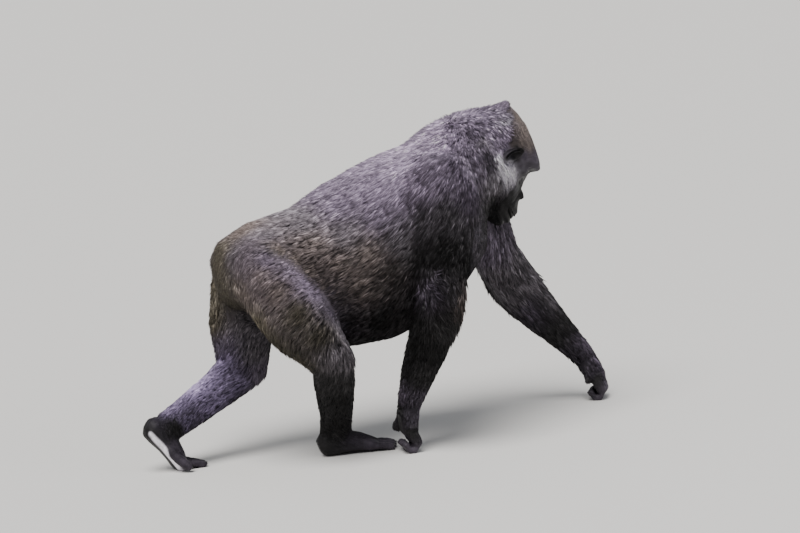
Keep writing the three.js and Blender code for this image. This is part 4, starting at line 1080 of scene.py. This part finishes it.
skinTint = {
    # the sole's pale edge, partly pale skin and partly a painted highlight: its place and reach out and up,
    # and where it starts and ends along the foot
    "sole": {"tone": (0.90, 0.86, 0.93), "out": 33, "up": 9, "reach": (11.5, 11),
             "heel": (-8, 10), "ball": (178, 150)},
    "earShadow": 0.8, "earReach": (22, 34),
    # the skin under the coat is darkened as painted shade between the hairs
    "underCoatShade": 0.45,          # how light the skin is where the coat covers it
    "bareCoat": (5, 16),        # mm of coat over which the skin darkens
    "digit": 17, "away": 60.0,  # mm within which a digit is near, and the fold's value elsewhere
}


def markings(places):
    # the colour and the coat's length at a place, from the nearest combing places
    values = combEverywhere(toBody(places))[1]
    return values[:, 2:5], values[:, 0]


def foldPlace(places):
    # mm along the nearest digit from its nearest joint, and a large number away from the digits
    body = toBody(places)
    best, fold = np.full(len(body), float(skinTint["digit"])), np.full(len(body), skinTint["away"])
    for line, _, _ in digits:
        line = np.array(line)
        for k in range(1, len(line) - 1):
            for start, end in ((line[k], line[k - 1]), (line[k], line[k + 1])):
                span = end - start
                length = np.linalg.norm(span)
                t = (body - start) @ span / length
                away = np.linalg.norm(body - start - np.clip(t / length, 0, 1)[:, None] * span, axis=1)
                closer = (away < best) & (t > -6) & (t < length / 2 + 2)
                best = np.where(closer, away, best)
                fold = np.where(closer, np.abs(t), fold)
    return fold


def paleLitSoleEdge(places):
    # 1 along the inner edge of each sole, from the heel to the ball, where pale skin carries a painted
    # highlight
    body, sole = toBody(places), skinTint["sole"]
    pale = np.zeros(len(body))
    for side, j in joints.items():
        along, out, up = ((body - j["heel"]) @ j["sole"]).T
        out = out * (-1 if side == "left" else 1)
        away = np.hypot((out - sole["out"]) / sole["reach"][0], (up - sole["up"]) / sole["reach"][1])
        pale += (smoothStep(1.25, 0.55, away) * smoothStep(*sole["heel"], along)
                 * smoothStep(*sole["ball"], along))
    return np.clip(pale, 0, 1)[:, None]


def earShadow(places):
    # 1 in the hollows of the ears and behind their rims
    a, n, h = earPlace(places)[0].T
    deep, tall = skinTint["earReach"]
    plate = np.hypot(a / deep, h / tall)
    hollow = softSpot(a - 2, h + 4, 9, 14) + softSpot(a - 5, h - 14, 7, 8)
    groove = ringRise(plate, 0.7, 0.69, 0.10) * smoothStep(7, -5, a)
    return (np.clip(hollow + groove, 0, 1) * (plate < 1) * (n > -10))[:, None]


skinColours, coatLength = markings(points)
skinColours = skinColours * (1 - skinTint["earShadow"] * earShadow(points))
# the pale tone on each sole's edge is partly the skin's own and partly a painted highlight
pale = paleLitSoleEdge(points)
skinColours = skinColours * (1 - pale) + np.array(skinTint["sole"]["tone"]) * pale
# where the coat is long, the skin is darkened as painted shade between the hairs
bare = 1 - smoothStep(*skinTint["bareCoat"], coatLength)[:, None]
setColours(skin, "tone", skinColours * (skinTint["underCoatShade"] + (1 - skinTint["underCoatShade"]) * bare))
setValues(skin, "fold", foldPlace(points))

# the coat

coatMake = {
    "width": (0.40, 0.022),      # mm, and mm for each mm of length
    "widthVaries": (0.7, 1.3),
    "lengthVaries": (0.70, 1.22),
    "standVaries": (0.55, 1.10),
    "strands": 4,                # in one lock
    "lockReach": 2.0,            # mm between a lock's roots
    "gather": 0.35,              # how far apart the tips stay
    "arch": 0.060,               # how far the middle bows out, of the length
    "archVaries": (0.5, 1.6),
    "middle": 0.45,              # where along the strand it is widest
    "rootDeep": 0.0015,          # how far a root is sunk into the skin
    "floor": 0.001,
    "crowd": (28, 0.8, 3.2),     # mm of length with one share of strands, and the least and most shares
    "barest": (2.5, 7),          # mm of length between which strands begin
    "tones": (0.42, 0.92, 0.92, 1.24),      # root, the two sides of the middle, and tip
    "shadeShares": (0.80, 0.45, 0.50),      # of the streaks, the lock and the strand itself
    "streakCell": 2.0, "streakReach": 24,   # mm across and along the streaks of one shade
    "patch": 0.003,              # a strand's width on the map OFBake
    "ear": (24, 35, 1.08, -24),  # reach across and up, its share, and how far inwards
}
coatStrands = {  # for each piece, on the bones whose names begin as it does
    "head": 42000, "neck": 42000, "chest": 47000, "belly": 49000, "rump": 39000,
    "arm_right": 44000, "arm_left": 33000, "leg_right": 42000, "leg_left": 36000,
}


def unwrapPlace(body, bonesHere, which):
    # turn round the nearest bone, and the share along it, each bone in a band of its own
    u, v = np.zeros(len(body)), np.zeros(len(body))
    for band, name in enumerate(bonesHere):
        here = which == boneNames.index(name)
        start, end = (np.array(p, float) for p in bones[name][:2])
        axis = unit(end - start)
        off = body[here] - start
        along = off @ axis
        sideways = unit(np.cross(axis, (0.0, 0.31, 0.95)))
        upward = np.cross(sideways, axis)
        u[here] = np.arctan2(off @ sideways, off @ upward) / (2 * math.pi) + 0.5
        length = np.linalg.norm(end - start)
        v[here] = (band + np.clip((along / length + 0.6) / 2.2, 0, 1)) / len(bonesHere)
    return np.stack([0.01 + 0.975 * u, 0.01 + 0.975 * v], 1)


a, b, c = (points[triangles[:, k]] for k in range(3))
areas = np.linalg.norm(np.cross(b - a, c - a), axis=1) / 2
_, centreValues, centreBones = combEverywhere(toBody(points[triangles].mean(1)))
skinNormals = normalsOf(points, triangles)
even, least, most = coatMake["crowd"]
centreLength = centreValues[:, 0]
crowding = np.where(centreLength > 3, np.clip(even / np.maximum(centreLength, 3), least, most), 0)
crowding *= smoothStep(*coatMake["barest"], centreLength)


def streaks(body, lie):
    # random numbers on a fine lattice, averaged at even steps along the hair and brought to
    # mean 0 and spread 1, so that hairs that follow one another share a shade
    steps = np.linspace(-1, 1, 21) * coatMake["streakReach"]
    total = np.zeros(len(body))
    for step in steps:
        cell = np.floor((body + lie * step) / coatMake["streakCell"]).astype(np.int64)
        mixed = (cell[:, 0] * 73856093) ^ (cell[:, 1] * 19349663) ^ (cell[:, 2] * 83492791)
        total += (mixed >> 3) % 1021
    return (total - total.mean()) / total.std()


def growCoat(name, part, count, seed):
    # locks of tapering strands: a strand is a closed sliver of four points, its root, the two
    # ends of a bowed middle and its tip, and the strands of a lock draw together at their tips
    rng = np.random.default_rng(seed)
    bonesHere = [bone for bone in boneNames if bone.startswith((part, f"trunk_{part}"))]
    here = np.isin(centreBones, [boneNames.index(bone) for bone in bonesHere])
    share = np.cumsum(areas * crowding * here)
    perLock = coatMake["strands"]
    locks = count // perLock
    picks = (np.arange(locks) + rng.random(locks)) / locks * share[-1]
    face = np.searchsorted(share, picks)
    mixA, mixB = rng.random((2, locks))
    over = mixA + mixB > 1
    mixA, mixB = np.where(over, 1 - mixA, mixA), np.where(over, 1 - mixB, mixB)
    mixes = np.stack([1 - mixA - mixB, mixA, mixB], 1)[:, :, None]
    root = (points[triangles[face]] * mixes).sum(1)
    normal = unit((skinNormals[triangles[face]] * mixes).sum(1))
    body = toBody(root)
    lie, values, _ = combEverywhere(body)
    wander = values[:, 6:7]
    streak = streaks(body, lie)
    lie = lie + rng.normal(size=(locks, 3)) * wander
    lie = unit(lie - (lie * normal).sum(1, keepdims=True) * normal)
    uvRoot = unwrapPlace(body, bonesHere, centreBones[face])

    # one row for each strand from here on
    own = np.repeat(np.arange(locks), perLock)
    count = len(own)
    normal, lie, values, uvRoot, root = normal[own], lie[own], values[own], uvRoot[own], root[own]
    long = values[:, 0] * rng.uniform(*coatMake["lengthVaries"], count) / 1000
    stand = np.radians(values[:, 1] * rng.uniform(*coatMake["standVaries"], count))
    side = unit(np.cross(normal, lie))
    spread = coatMake["lockReach"] / 1000 * np.minimum(1, values[:, 0] / 34)
    shift = (side * rng.normal(size=(count, 1)) + lie * rng.normal(size=(count, 1))) * spread[:, None]
    base = root + shift
    straying = rng.normal(size=count) * (0.03 + 0.25 * values[:, 6])
    way = unit(lie + side * straying[:, None])
    tip = (root + shift * coatMake["gather"] + way * (long * np.cos(stand))[:, None]
           + normal * (long * np.sin(stand))[:, None])
    across, up, within, inwards = coatMake["ear"]
    for _ in range(2):
        # a strand that would lie over an ear is cut down
        local = earPlace(tip)[0]
        over = (np.hypot(local[:, 0] / across, local[:, 2] / up) < within) & (local[:, 1] > inwards)
        shorter = np.where(over, 0.5, 1.0)
        long = long * shorter
        tip = root + (tip - root) * shorter[:, None]
    bow = coatMake["arch"] * rng.uniform(*coatMake["archVaries"], count)
    curl = rng.normal(size=count) * (0.02 + 0.10 * values[:, 6])
    middle = (base + (tip - base) * coatMake["middle"]
              + normal * (long * bow)[:, None] + side * (long * curl)[:, None])
    base = base - normal * coatMake["rootDeep"]
    thin, wider = coatMake["width"]
    wide = (thin + wider * values[:, 0]) / 1000 * rng.uniform(*coatMake["widthVaries"], count)
    half = (wide / 2)[:, None]
    strand = np.stack([base, middle - side * half, middle + side * half, tip], 1)
    strand[..., 2] = np.maximum(strand[..., 2], coatMake["floor"])
    faces = np.array([(0, 2, 1), (3, 1, 2), (0, 1, 3), (0, 3, 2)])
    corners = (faces[None] + (np.arange(count) * 4)[:, None, None]).reshape(-1)
    coat = meshFrom(name, strand.reshape(-1, 3), corners, np.full(count * len(faces), 3))

    ofStreak, ofLock, ofStrand = coatMake["shadeShares"]
    contrast = values[:, 5]
    shade = (ofStreak * streak + ofLock * rng.normal(size=locks))[own] + ofStrand * rng.normal(size=count)
    shade = np.exp(contrast * shade - 0.45 * contrast ** 2)   # the last part keeps the mean
    colour = values[:, 2:5] * np.clip(shade, 0.25, 3.0)[:, None]
    along = np.array(coatMake["tones"])
    colours = (colour[:, None] * along[None, :, None]).reshape(-1, 3)
    setColours(coat, "tone", np.clip(colours, 0, 0.85))
    corner = np.array([(0.5, 0), (0, 0.45), (1, 0.45), (0.5, 1)]) * coatMake["patch"]
    uv = (uvRoot[:, None] + corner[None]).reshape(-1, 2)
    layer = coat.data.uv_layers.new(name="OFBake")
    layer.data.foreach_set("uv", uv[corners].astype(np.float32).ravel())
    return coat


coats = {}
for seed, (name, count) in enumerate(coatStrands.items(), 20):
    coats[f"{name}_coat"] = growCoat(f"{name}_coat", name, count, seed)
report(f"coat of {sum(len(coat.data.polygons) for coat in coats.values())} faces")

# the eyes

eyeMake = {"rings": 24, "turns": 32, "iris": 6.6, "cornea": 0.9}


def ballGrid(rings, turns):
    # angles from a ball's pole and round it, at every crossing of its rings and columns
    down = np.linspace(0, math.pi, rings + 2)[1:-1]
    turn = np.arange(turns) * 2 * math.pi / turns
    return np.meshgrid(down, turn, indexing="ij")


def ballFaces(rows, columns):
    # corners and sizes: quads between the rings of a ball, and triangles to its poles, which come last
    i, j = (part.reshape(-1) for part in np.meshgrid(np.arange(rows - 1), np.arange(columns), indexing="ij"))
    here, beside = i * columns + j, i * columns + (j + 1) % columns
    quads = np.stack([here, here + columns, beside + columns, beside], -1)
    k = np.arange(columns)
    after = (k + 1) % columns
    last = (rows - 1) * columns
    front = np.stack([np.full(columns, rows * columns), k, after], -1)
    rear = np.stack([np.full(columns, rows * columns + 1), last + after, last + k], -1)
    caps = np.concatenate([front, rear])
    corners = np.concatenate([quads.reshape(-1), caps.reshape(-1)])
    return corners, np.concatenate([np.full(len(quads), 4), np.full(len(caps), 3)])


def eyeBall(name, side):
    # a sphere about the f axis; inside the iris it bulges by a squared cosine into the cornea
    ball = fromHead(np.array(build["eye"], float) * (1, side, 1))
    down, turn = ballGrid(eyeMake["rings"] - 1, eyeMake["turns"])
    radius = build["eyeRadius"]
    off = radius * np.sin(down)
    bulge = eyeMake["cornea"] * np.clip(1 - (off / (eyeMake["iris"] + 1)) ** 2, 0, 1) * (down < 1)
    ahead = radius * np.cos(down) + bulge
    local = np.stack([ahead, off * np.cos(turn), off * np.sin(turn)], -1).reshape(-1, 3)
    poles = np.array([[radius + eyeMake["cornea"], 0, 0], [-radius, 0, 0]])
    local = np.concatenate([local, poles])
    place = ball + (local @ headTurn.T) / 1000
    thing = meshFrom(name, place, *ballFaces(eyeMake["rings"] - 1, eyeMake["turns"]))
    behind = 30   # mm added at the rear half, which takes the white's tone
    away = np.hypot(local[:, 1], local[:, 2]) + np.where(local[:, 0] < 0, behind, 0)
    setValues(thing, "fromPupil", away)
    return thing


eyes = {side: eyeBall(f"eye_ball_{side}", 1 if side == "left" else -1) for side in ("right", "left")}
report("eyes made")

# the nails

nailMake = {
    "turns": 16, "rings": 7,
    # in radii of the digit: length and width of half a nail, how far back from the tip, and how high
    "long": 0.62, "wide": 0.62, "back": 0.45, "rise": 0.7052,
    "thick": 1.1,   # mm
    "square": 0.8,  # how square its sides are: under 1 is squarer
    "bendAcross": 0.9, "bendAlong": 6,
}


def allNails():
    # each nail is a flattened ball bent round its digit, set into the back of the last joint
    rows, columns = nailMake["rings"], nailMake["turns"]
    down, turn = ballGrid(rows, columns)
    ball = np.stack([np.cos(down), np.sin(down) * np.cos(turn), np.sin(down) * np.sin(turn)], -1)
    ball = np.concatenate([ball.reshape(-1, 3), [[1.0, 0, 0], [-1.0, 0, 0]]])
    corners, sizes = ballFaces(rows, columns)
    everyPoint = []
    for line, radius, face in digits:
        along = unit(np.array(line[-1]) - line[-2])
        up = unit(face - np.dot(face, along) * along)
        across = np.cross(up, along)
        a = ball[:, 0] * radius * nailMake["long"]
        b = np.sign(ball[:, 1]) * np.abs(ball[:, 1]) ** nailMake["square"] * radius * nailMake["wide"]
        n = ball[:, 2] * nailMake["thick"] - b ** 2 / (2 * radius) * nailMake["bendAcross"]
        n = n - np.maximum(a, 0) ** 2 / (radius * nailMake["bendAlong"])
        middle = np.array(line[-1]) - along * radius * nailMake["back"] + up * radius * nailMake["rise"]
        everyPoint.append(middle + np.outer(a, along) + np.outer(b, across) + np.outer(n, up))
    everyCorner = np.concatenate([corners + k * len(ball) for k in range(len(digits))])
    return meshFrom("nails", toScene(np.concatenate(everyPoint)), everyCorner, np.tile(sizes, len(digits)))


nails = allNails()
report("nails made")

# materials


def nodeGroup(name, inputs, output):
    # an empty group with its inputs by name and first value, and its one output's name and kind
    group = bpy.data.node_groups.new(name, "ShaderNodeTree")
    for label, value in inputs.items():
        kind = "NodeSocketColor" if isinstance(value, tuple) else "NodeSocketFloat"
        group.interface.new_socket(label, in_out="INPUT", socket_type=kind).default_value = value
    group.interface.new_socket(output[0], in_out="OUTPUT", socket_type=output[1])
    given = group.nodes.new("NodeGroupInput").outputs
    return group, given, group.nodes.new("NodeGroupOutput").inputs[output[0]]


def addNode(tree, kind, inputs, **settings):
    # a node with its settings, and with its inputs given values or linked to other nodes' outputs
    made = tree.nodes.new(f"ShaderNode{kind}")
    for label, value in settings.items():
        setattr(made, label, value)
    for label, value in inputs.items():
        if isinstance(value, bpy.types.NodeSocket):
            tree.links.new(value, made.inputs[label])
        else:
            made.inputs[label].default_value = value
    return made.outputs


def maths(tree, operation, first, second):
    return addNode(tree, "Math", {0: first, 1: second}, operation=operation)[0]


def mottleGroup():
    # a tone made lighter and darker by cloudy noise that is fixed to the body
    group, given, put = nodeGroup(
        "mottle", {"Tone": (0.5, 0.5, 0.5, 1), "Scale": 40, "Amount": 0.3}, ("Colour", "NodeSocketColor"))
    where = addNode(group, "TexCoord", {})["Object"]
    noise = addNode(group, "TexNoise", {"Vector": where, "Scale": given["Scale"], "Detail": 3})["Fac"]
    spread = addNode(group, "MapRange", {
        "Value": noise, "From Min": 0.3, "From Max": 0.7,
        "To Min": maths(group, "SUBTRACT", 1, given["Amount"]),
        "To Max": maths(group, "ADD", 1, given["Amount"])})["Result"]
    scaled = addNode(group, "VectorMath", {0: given["Tone"], "Scale": spread}, operation="SCALE")
    group.links.new(scaled["Vector"], put)
    return group


def grainGroup():
    # height of the skin: small cells, cloudy grain, and ripples beside the joints of the digits:
    # a cosine of the distance from the joint that fades by e to the minus of its square
    group, given, put = nodeGroup(
        "skin_grain", {"Fold": 60.0, "Cells": 380.0, "Ripple": 1.0}, ("Height", "NodeSocketFloat"))
    where = addNode(group, "TexCoord", {})["Object"]
    cells = addNode(group, "TexVoronoi", {"Vector": where, "Scale": given["Cells"]})["Distance"]
    grain = addNode(group, "TexNoise", {"Vector": where, "Scale": 150, "Detail": 4})["Fac"]
    wobble = maths(group, "MULTIPLY", grain, 1.6)
    place = maths(group, "ADD", given["Fold"], wobble)
    wave = maths(group, "COSINE", maths(group, "MULTIPLY", place, 2.1), 0)
    square = maths(group, "MULTIPLY", place, place)
    fade = maths(group, "POWER", 2.718, maths(group, "MULTIPLY", square, -0.022))
    ripple = maths(group, "MULTIPLY", maths(group, "MULTIPLY", wave, fade), given["Ripple"])
    small = maths(group, "ADD", cells, grain)
    group.links.new(maths(group, "SUBTRACT", small, ripple), put)
    return group


def material(name, roughness, **sockets):
    # a material, its nodes and its shader, with the shader's own sockets set
    made = bpy.data.materials.new(name)
    made.use_nodes = True
    shader = made.node_tree.nodes["Principled BSDF"]
    shader.inputs["Roughness"].default_value = roughness
    for label, value in sockets.items():
        shader.inputs[label.replace("_", " ")].default_value = value
    return made, made.node_tree, shader


def attribute(tree, name, output="Fac"):
    return addNode(tree, "Attribute", {}, attribute_name=name)[output]


mottle = mottleGroup()


def toneInto(tree, target, scale, amount):
    # the vertex tones, mottled, into a shader's colour
    tones = {"Tone": attribute(tree, "tone", "Color"), "Scale": scale, "Amount": amount}
    tree.links.new(addNode(tree, "Group", tones, node_tree=mottle)["Colour"], target)


coatLook, coatTree, coatShader = material("coat_hair", 0.48, Specular_IOR_Level=0.16)
toneInto(coatTree, coatShader.inputs["Base Color"], 9, 0.12)

skinLook, skinTree, skinShader = material("bare_skin", 0.42, Specular_IOR_Level=0.09)
toneInto(skinTree, skinShader.inputs["Base Color"], 60, 0.28)
grain = addNode(skinTree, "Group", {"Fold": attribute(skinTree, "fold")}, node_tree=grainGroup())["Height"]
bump = addNode(skinTree, "Bump", {"Height": grain, "Strength": 0.6, "Distance": 0.0012})["Normal"]
skinTree.links.new(bump, skinShader.inputs["Normal"])

nailLook, _, nailShader = material("nail", 0.28, Specular_IOR_Level=0.5)
nailShader.inputs["Base Color"].default_value = (0.022, 0.019, 0.020, 1)

eyeLook, eyeTree, eyeShader = material(
    "eye_wet", 0.10, Coat_Weight=0.25, Coat_Roughness=0.02, Specular_IOR_Level=0.3)
eyeReach = 15
eyeBands = [  # distance from the pupil's middle, as a share of eyeReach in mm, and the tone there
    (0.0, (0.002, 0.002, 0.002, 1)), (0.175, (0.002, 0.002, 0.002, 1)), (0.20, (0.060, 0.026, 0.010, 1)),
    (0.40, (0.026, 0.011, 0.005, 1)), (0.45, (0.012, 0.008, 0.006, 1)), (0.56, (0.028, 0.020, 0.016, 1)),
    (1.0, (0.030, 0.022, 0.018, 1)),
]
away = maths(eyeTree, "DIVIDE", attribute(eyeTree, "fromPupil"), eyeReach)
bands = addNode(eyeTree, "ValToRGB", {"Fac": away})["Color"]
ramp = bands.node.color_ramp
ramp.elements[0].color, ramp.elements[1].color = eyeBands[0][1], eyeBands[-1][1]
for position, colour in eyeBands[1:-1]:
    ramp.elements.new(position).color = colour
eyeTree.links.new(bands, eyeShader.inputs["Base Color"])

skin.data.materials.clear()
looks = [(skin, skinLook), (nails, nailLook)]
looks += [(coat, coatLook) for coat in coats.values()] + [(eye, eyeLook) for eye in eyes.values()]
for piece, look in looks:
    piece.data.materials.append(look)

# the pieces ride on the one body

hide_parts(*flesh)
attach(skin, "root")
for name, coat in coats.items():
    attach(coat, "root")
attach(nails, "root")
for side, eye in eyes.items():
    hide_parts(f"eye_{side}")
    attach(eye, "root")

# floor, light and camera

studio = {
    "floor": 60.0, "floorTone": (0.62, 0.61, 0.59, 1),
    "worldTone": (0.76, 0.78, 0.82, 1), "worldLight": 0.50,
    "lookAt": (0, 0, 0.45),   # the middle of the animal
    "key": {"place": (-2.0, -2.0, 5.8), "strength": 5.0, "spread": 40, "tone": (1.0, 0.98, 0.96)},
    "fill": {"place": (2.6, -3.6, 2.4), "strength": 40, "size": 2.6, "tone": (0.92, 0.95, 1.0)},
}
view = {"aim": (0.0287, -0.0252, 0.5002), "around": -20, "above": 9, "roll": 5, "far": 9.0, "lens": 145.8}

half = studio["floor"]
floorPoints = np.array([(-half, -half, 0), (half, -half, 0), (half, half, 0), (-half, half, 0)], float)
floor = meshFrom("floor", floorPoints, np.arange(4), np.array([4]), smooth=False)
floorLook, _, floorShader = material("floor_paint", 0.7)
floorShader.inputs["Base Color"].default_value = studio["floorTone"]
floor.data.materials.append(floorLook)


def lampAt(name, kind):
    # a lamp that looks from its place at the middle of the animal
    make = studio[name]
    light = bpy.data.lights.new(name, kind)
    light.energy, light.color = make["strength"], make["tone"]
    lamp = bpy.data.objects.new(name, light)
    bpy.context.scene.collection.objects.link(lamp)
    lamp.location = make["place"]
    ahead = Vector(studio["lookAt"]) - Vector(make["place"])
    lamp.rotation_euler = ahead.to_track_quat("-Z", "Y").to_euler()
    return lamp


key = lampAt("key", "SUN")
key.data.angle = math.radians(studio["key"]["spread"])
fill = lampAt("fill", "AREA")
fill.data.size = studio["fill"]["size"]
world = bpy.data.worlds.new("studio")
world.use_nodes = True
world.node_tree.nodes["Background"].inputs["Color"].default_value = studio["worldTone"]
world.node_tree.nodes["Background"].inputs["Strength"].default_value = studio["worldLight"]
bpy.context.scene.world = world

around, above, roll = (math.radians(view[name]) for name in ("around", "above", "roll"))
back = Vector((math.sin(around) * math.cos(above), -math.cos(around) * math.cos(above), math.sin(above)))
camera = bpy.data.objects.new("camera", bpy.data.cameras.new("camera"))
bpy.context.scene.collection.objects.link(camera)
camera.data.lens = view["lens"]
camera.data.sensor_width = 36
camera.data.clip_end = 200
camera.location = Vector(view["aim"]) + back * view["far"]
level = (-back).to_track_quat("-Z", "Y").to_matrix()
camera.rotation_euler = (level @ Matrix.Rotation(-roll, 3, "Z")).to_euler()
bpy.context.scene.camera = camera

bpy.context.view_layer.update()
report("ready")
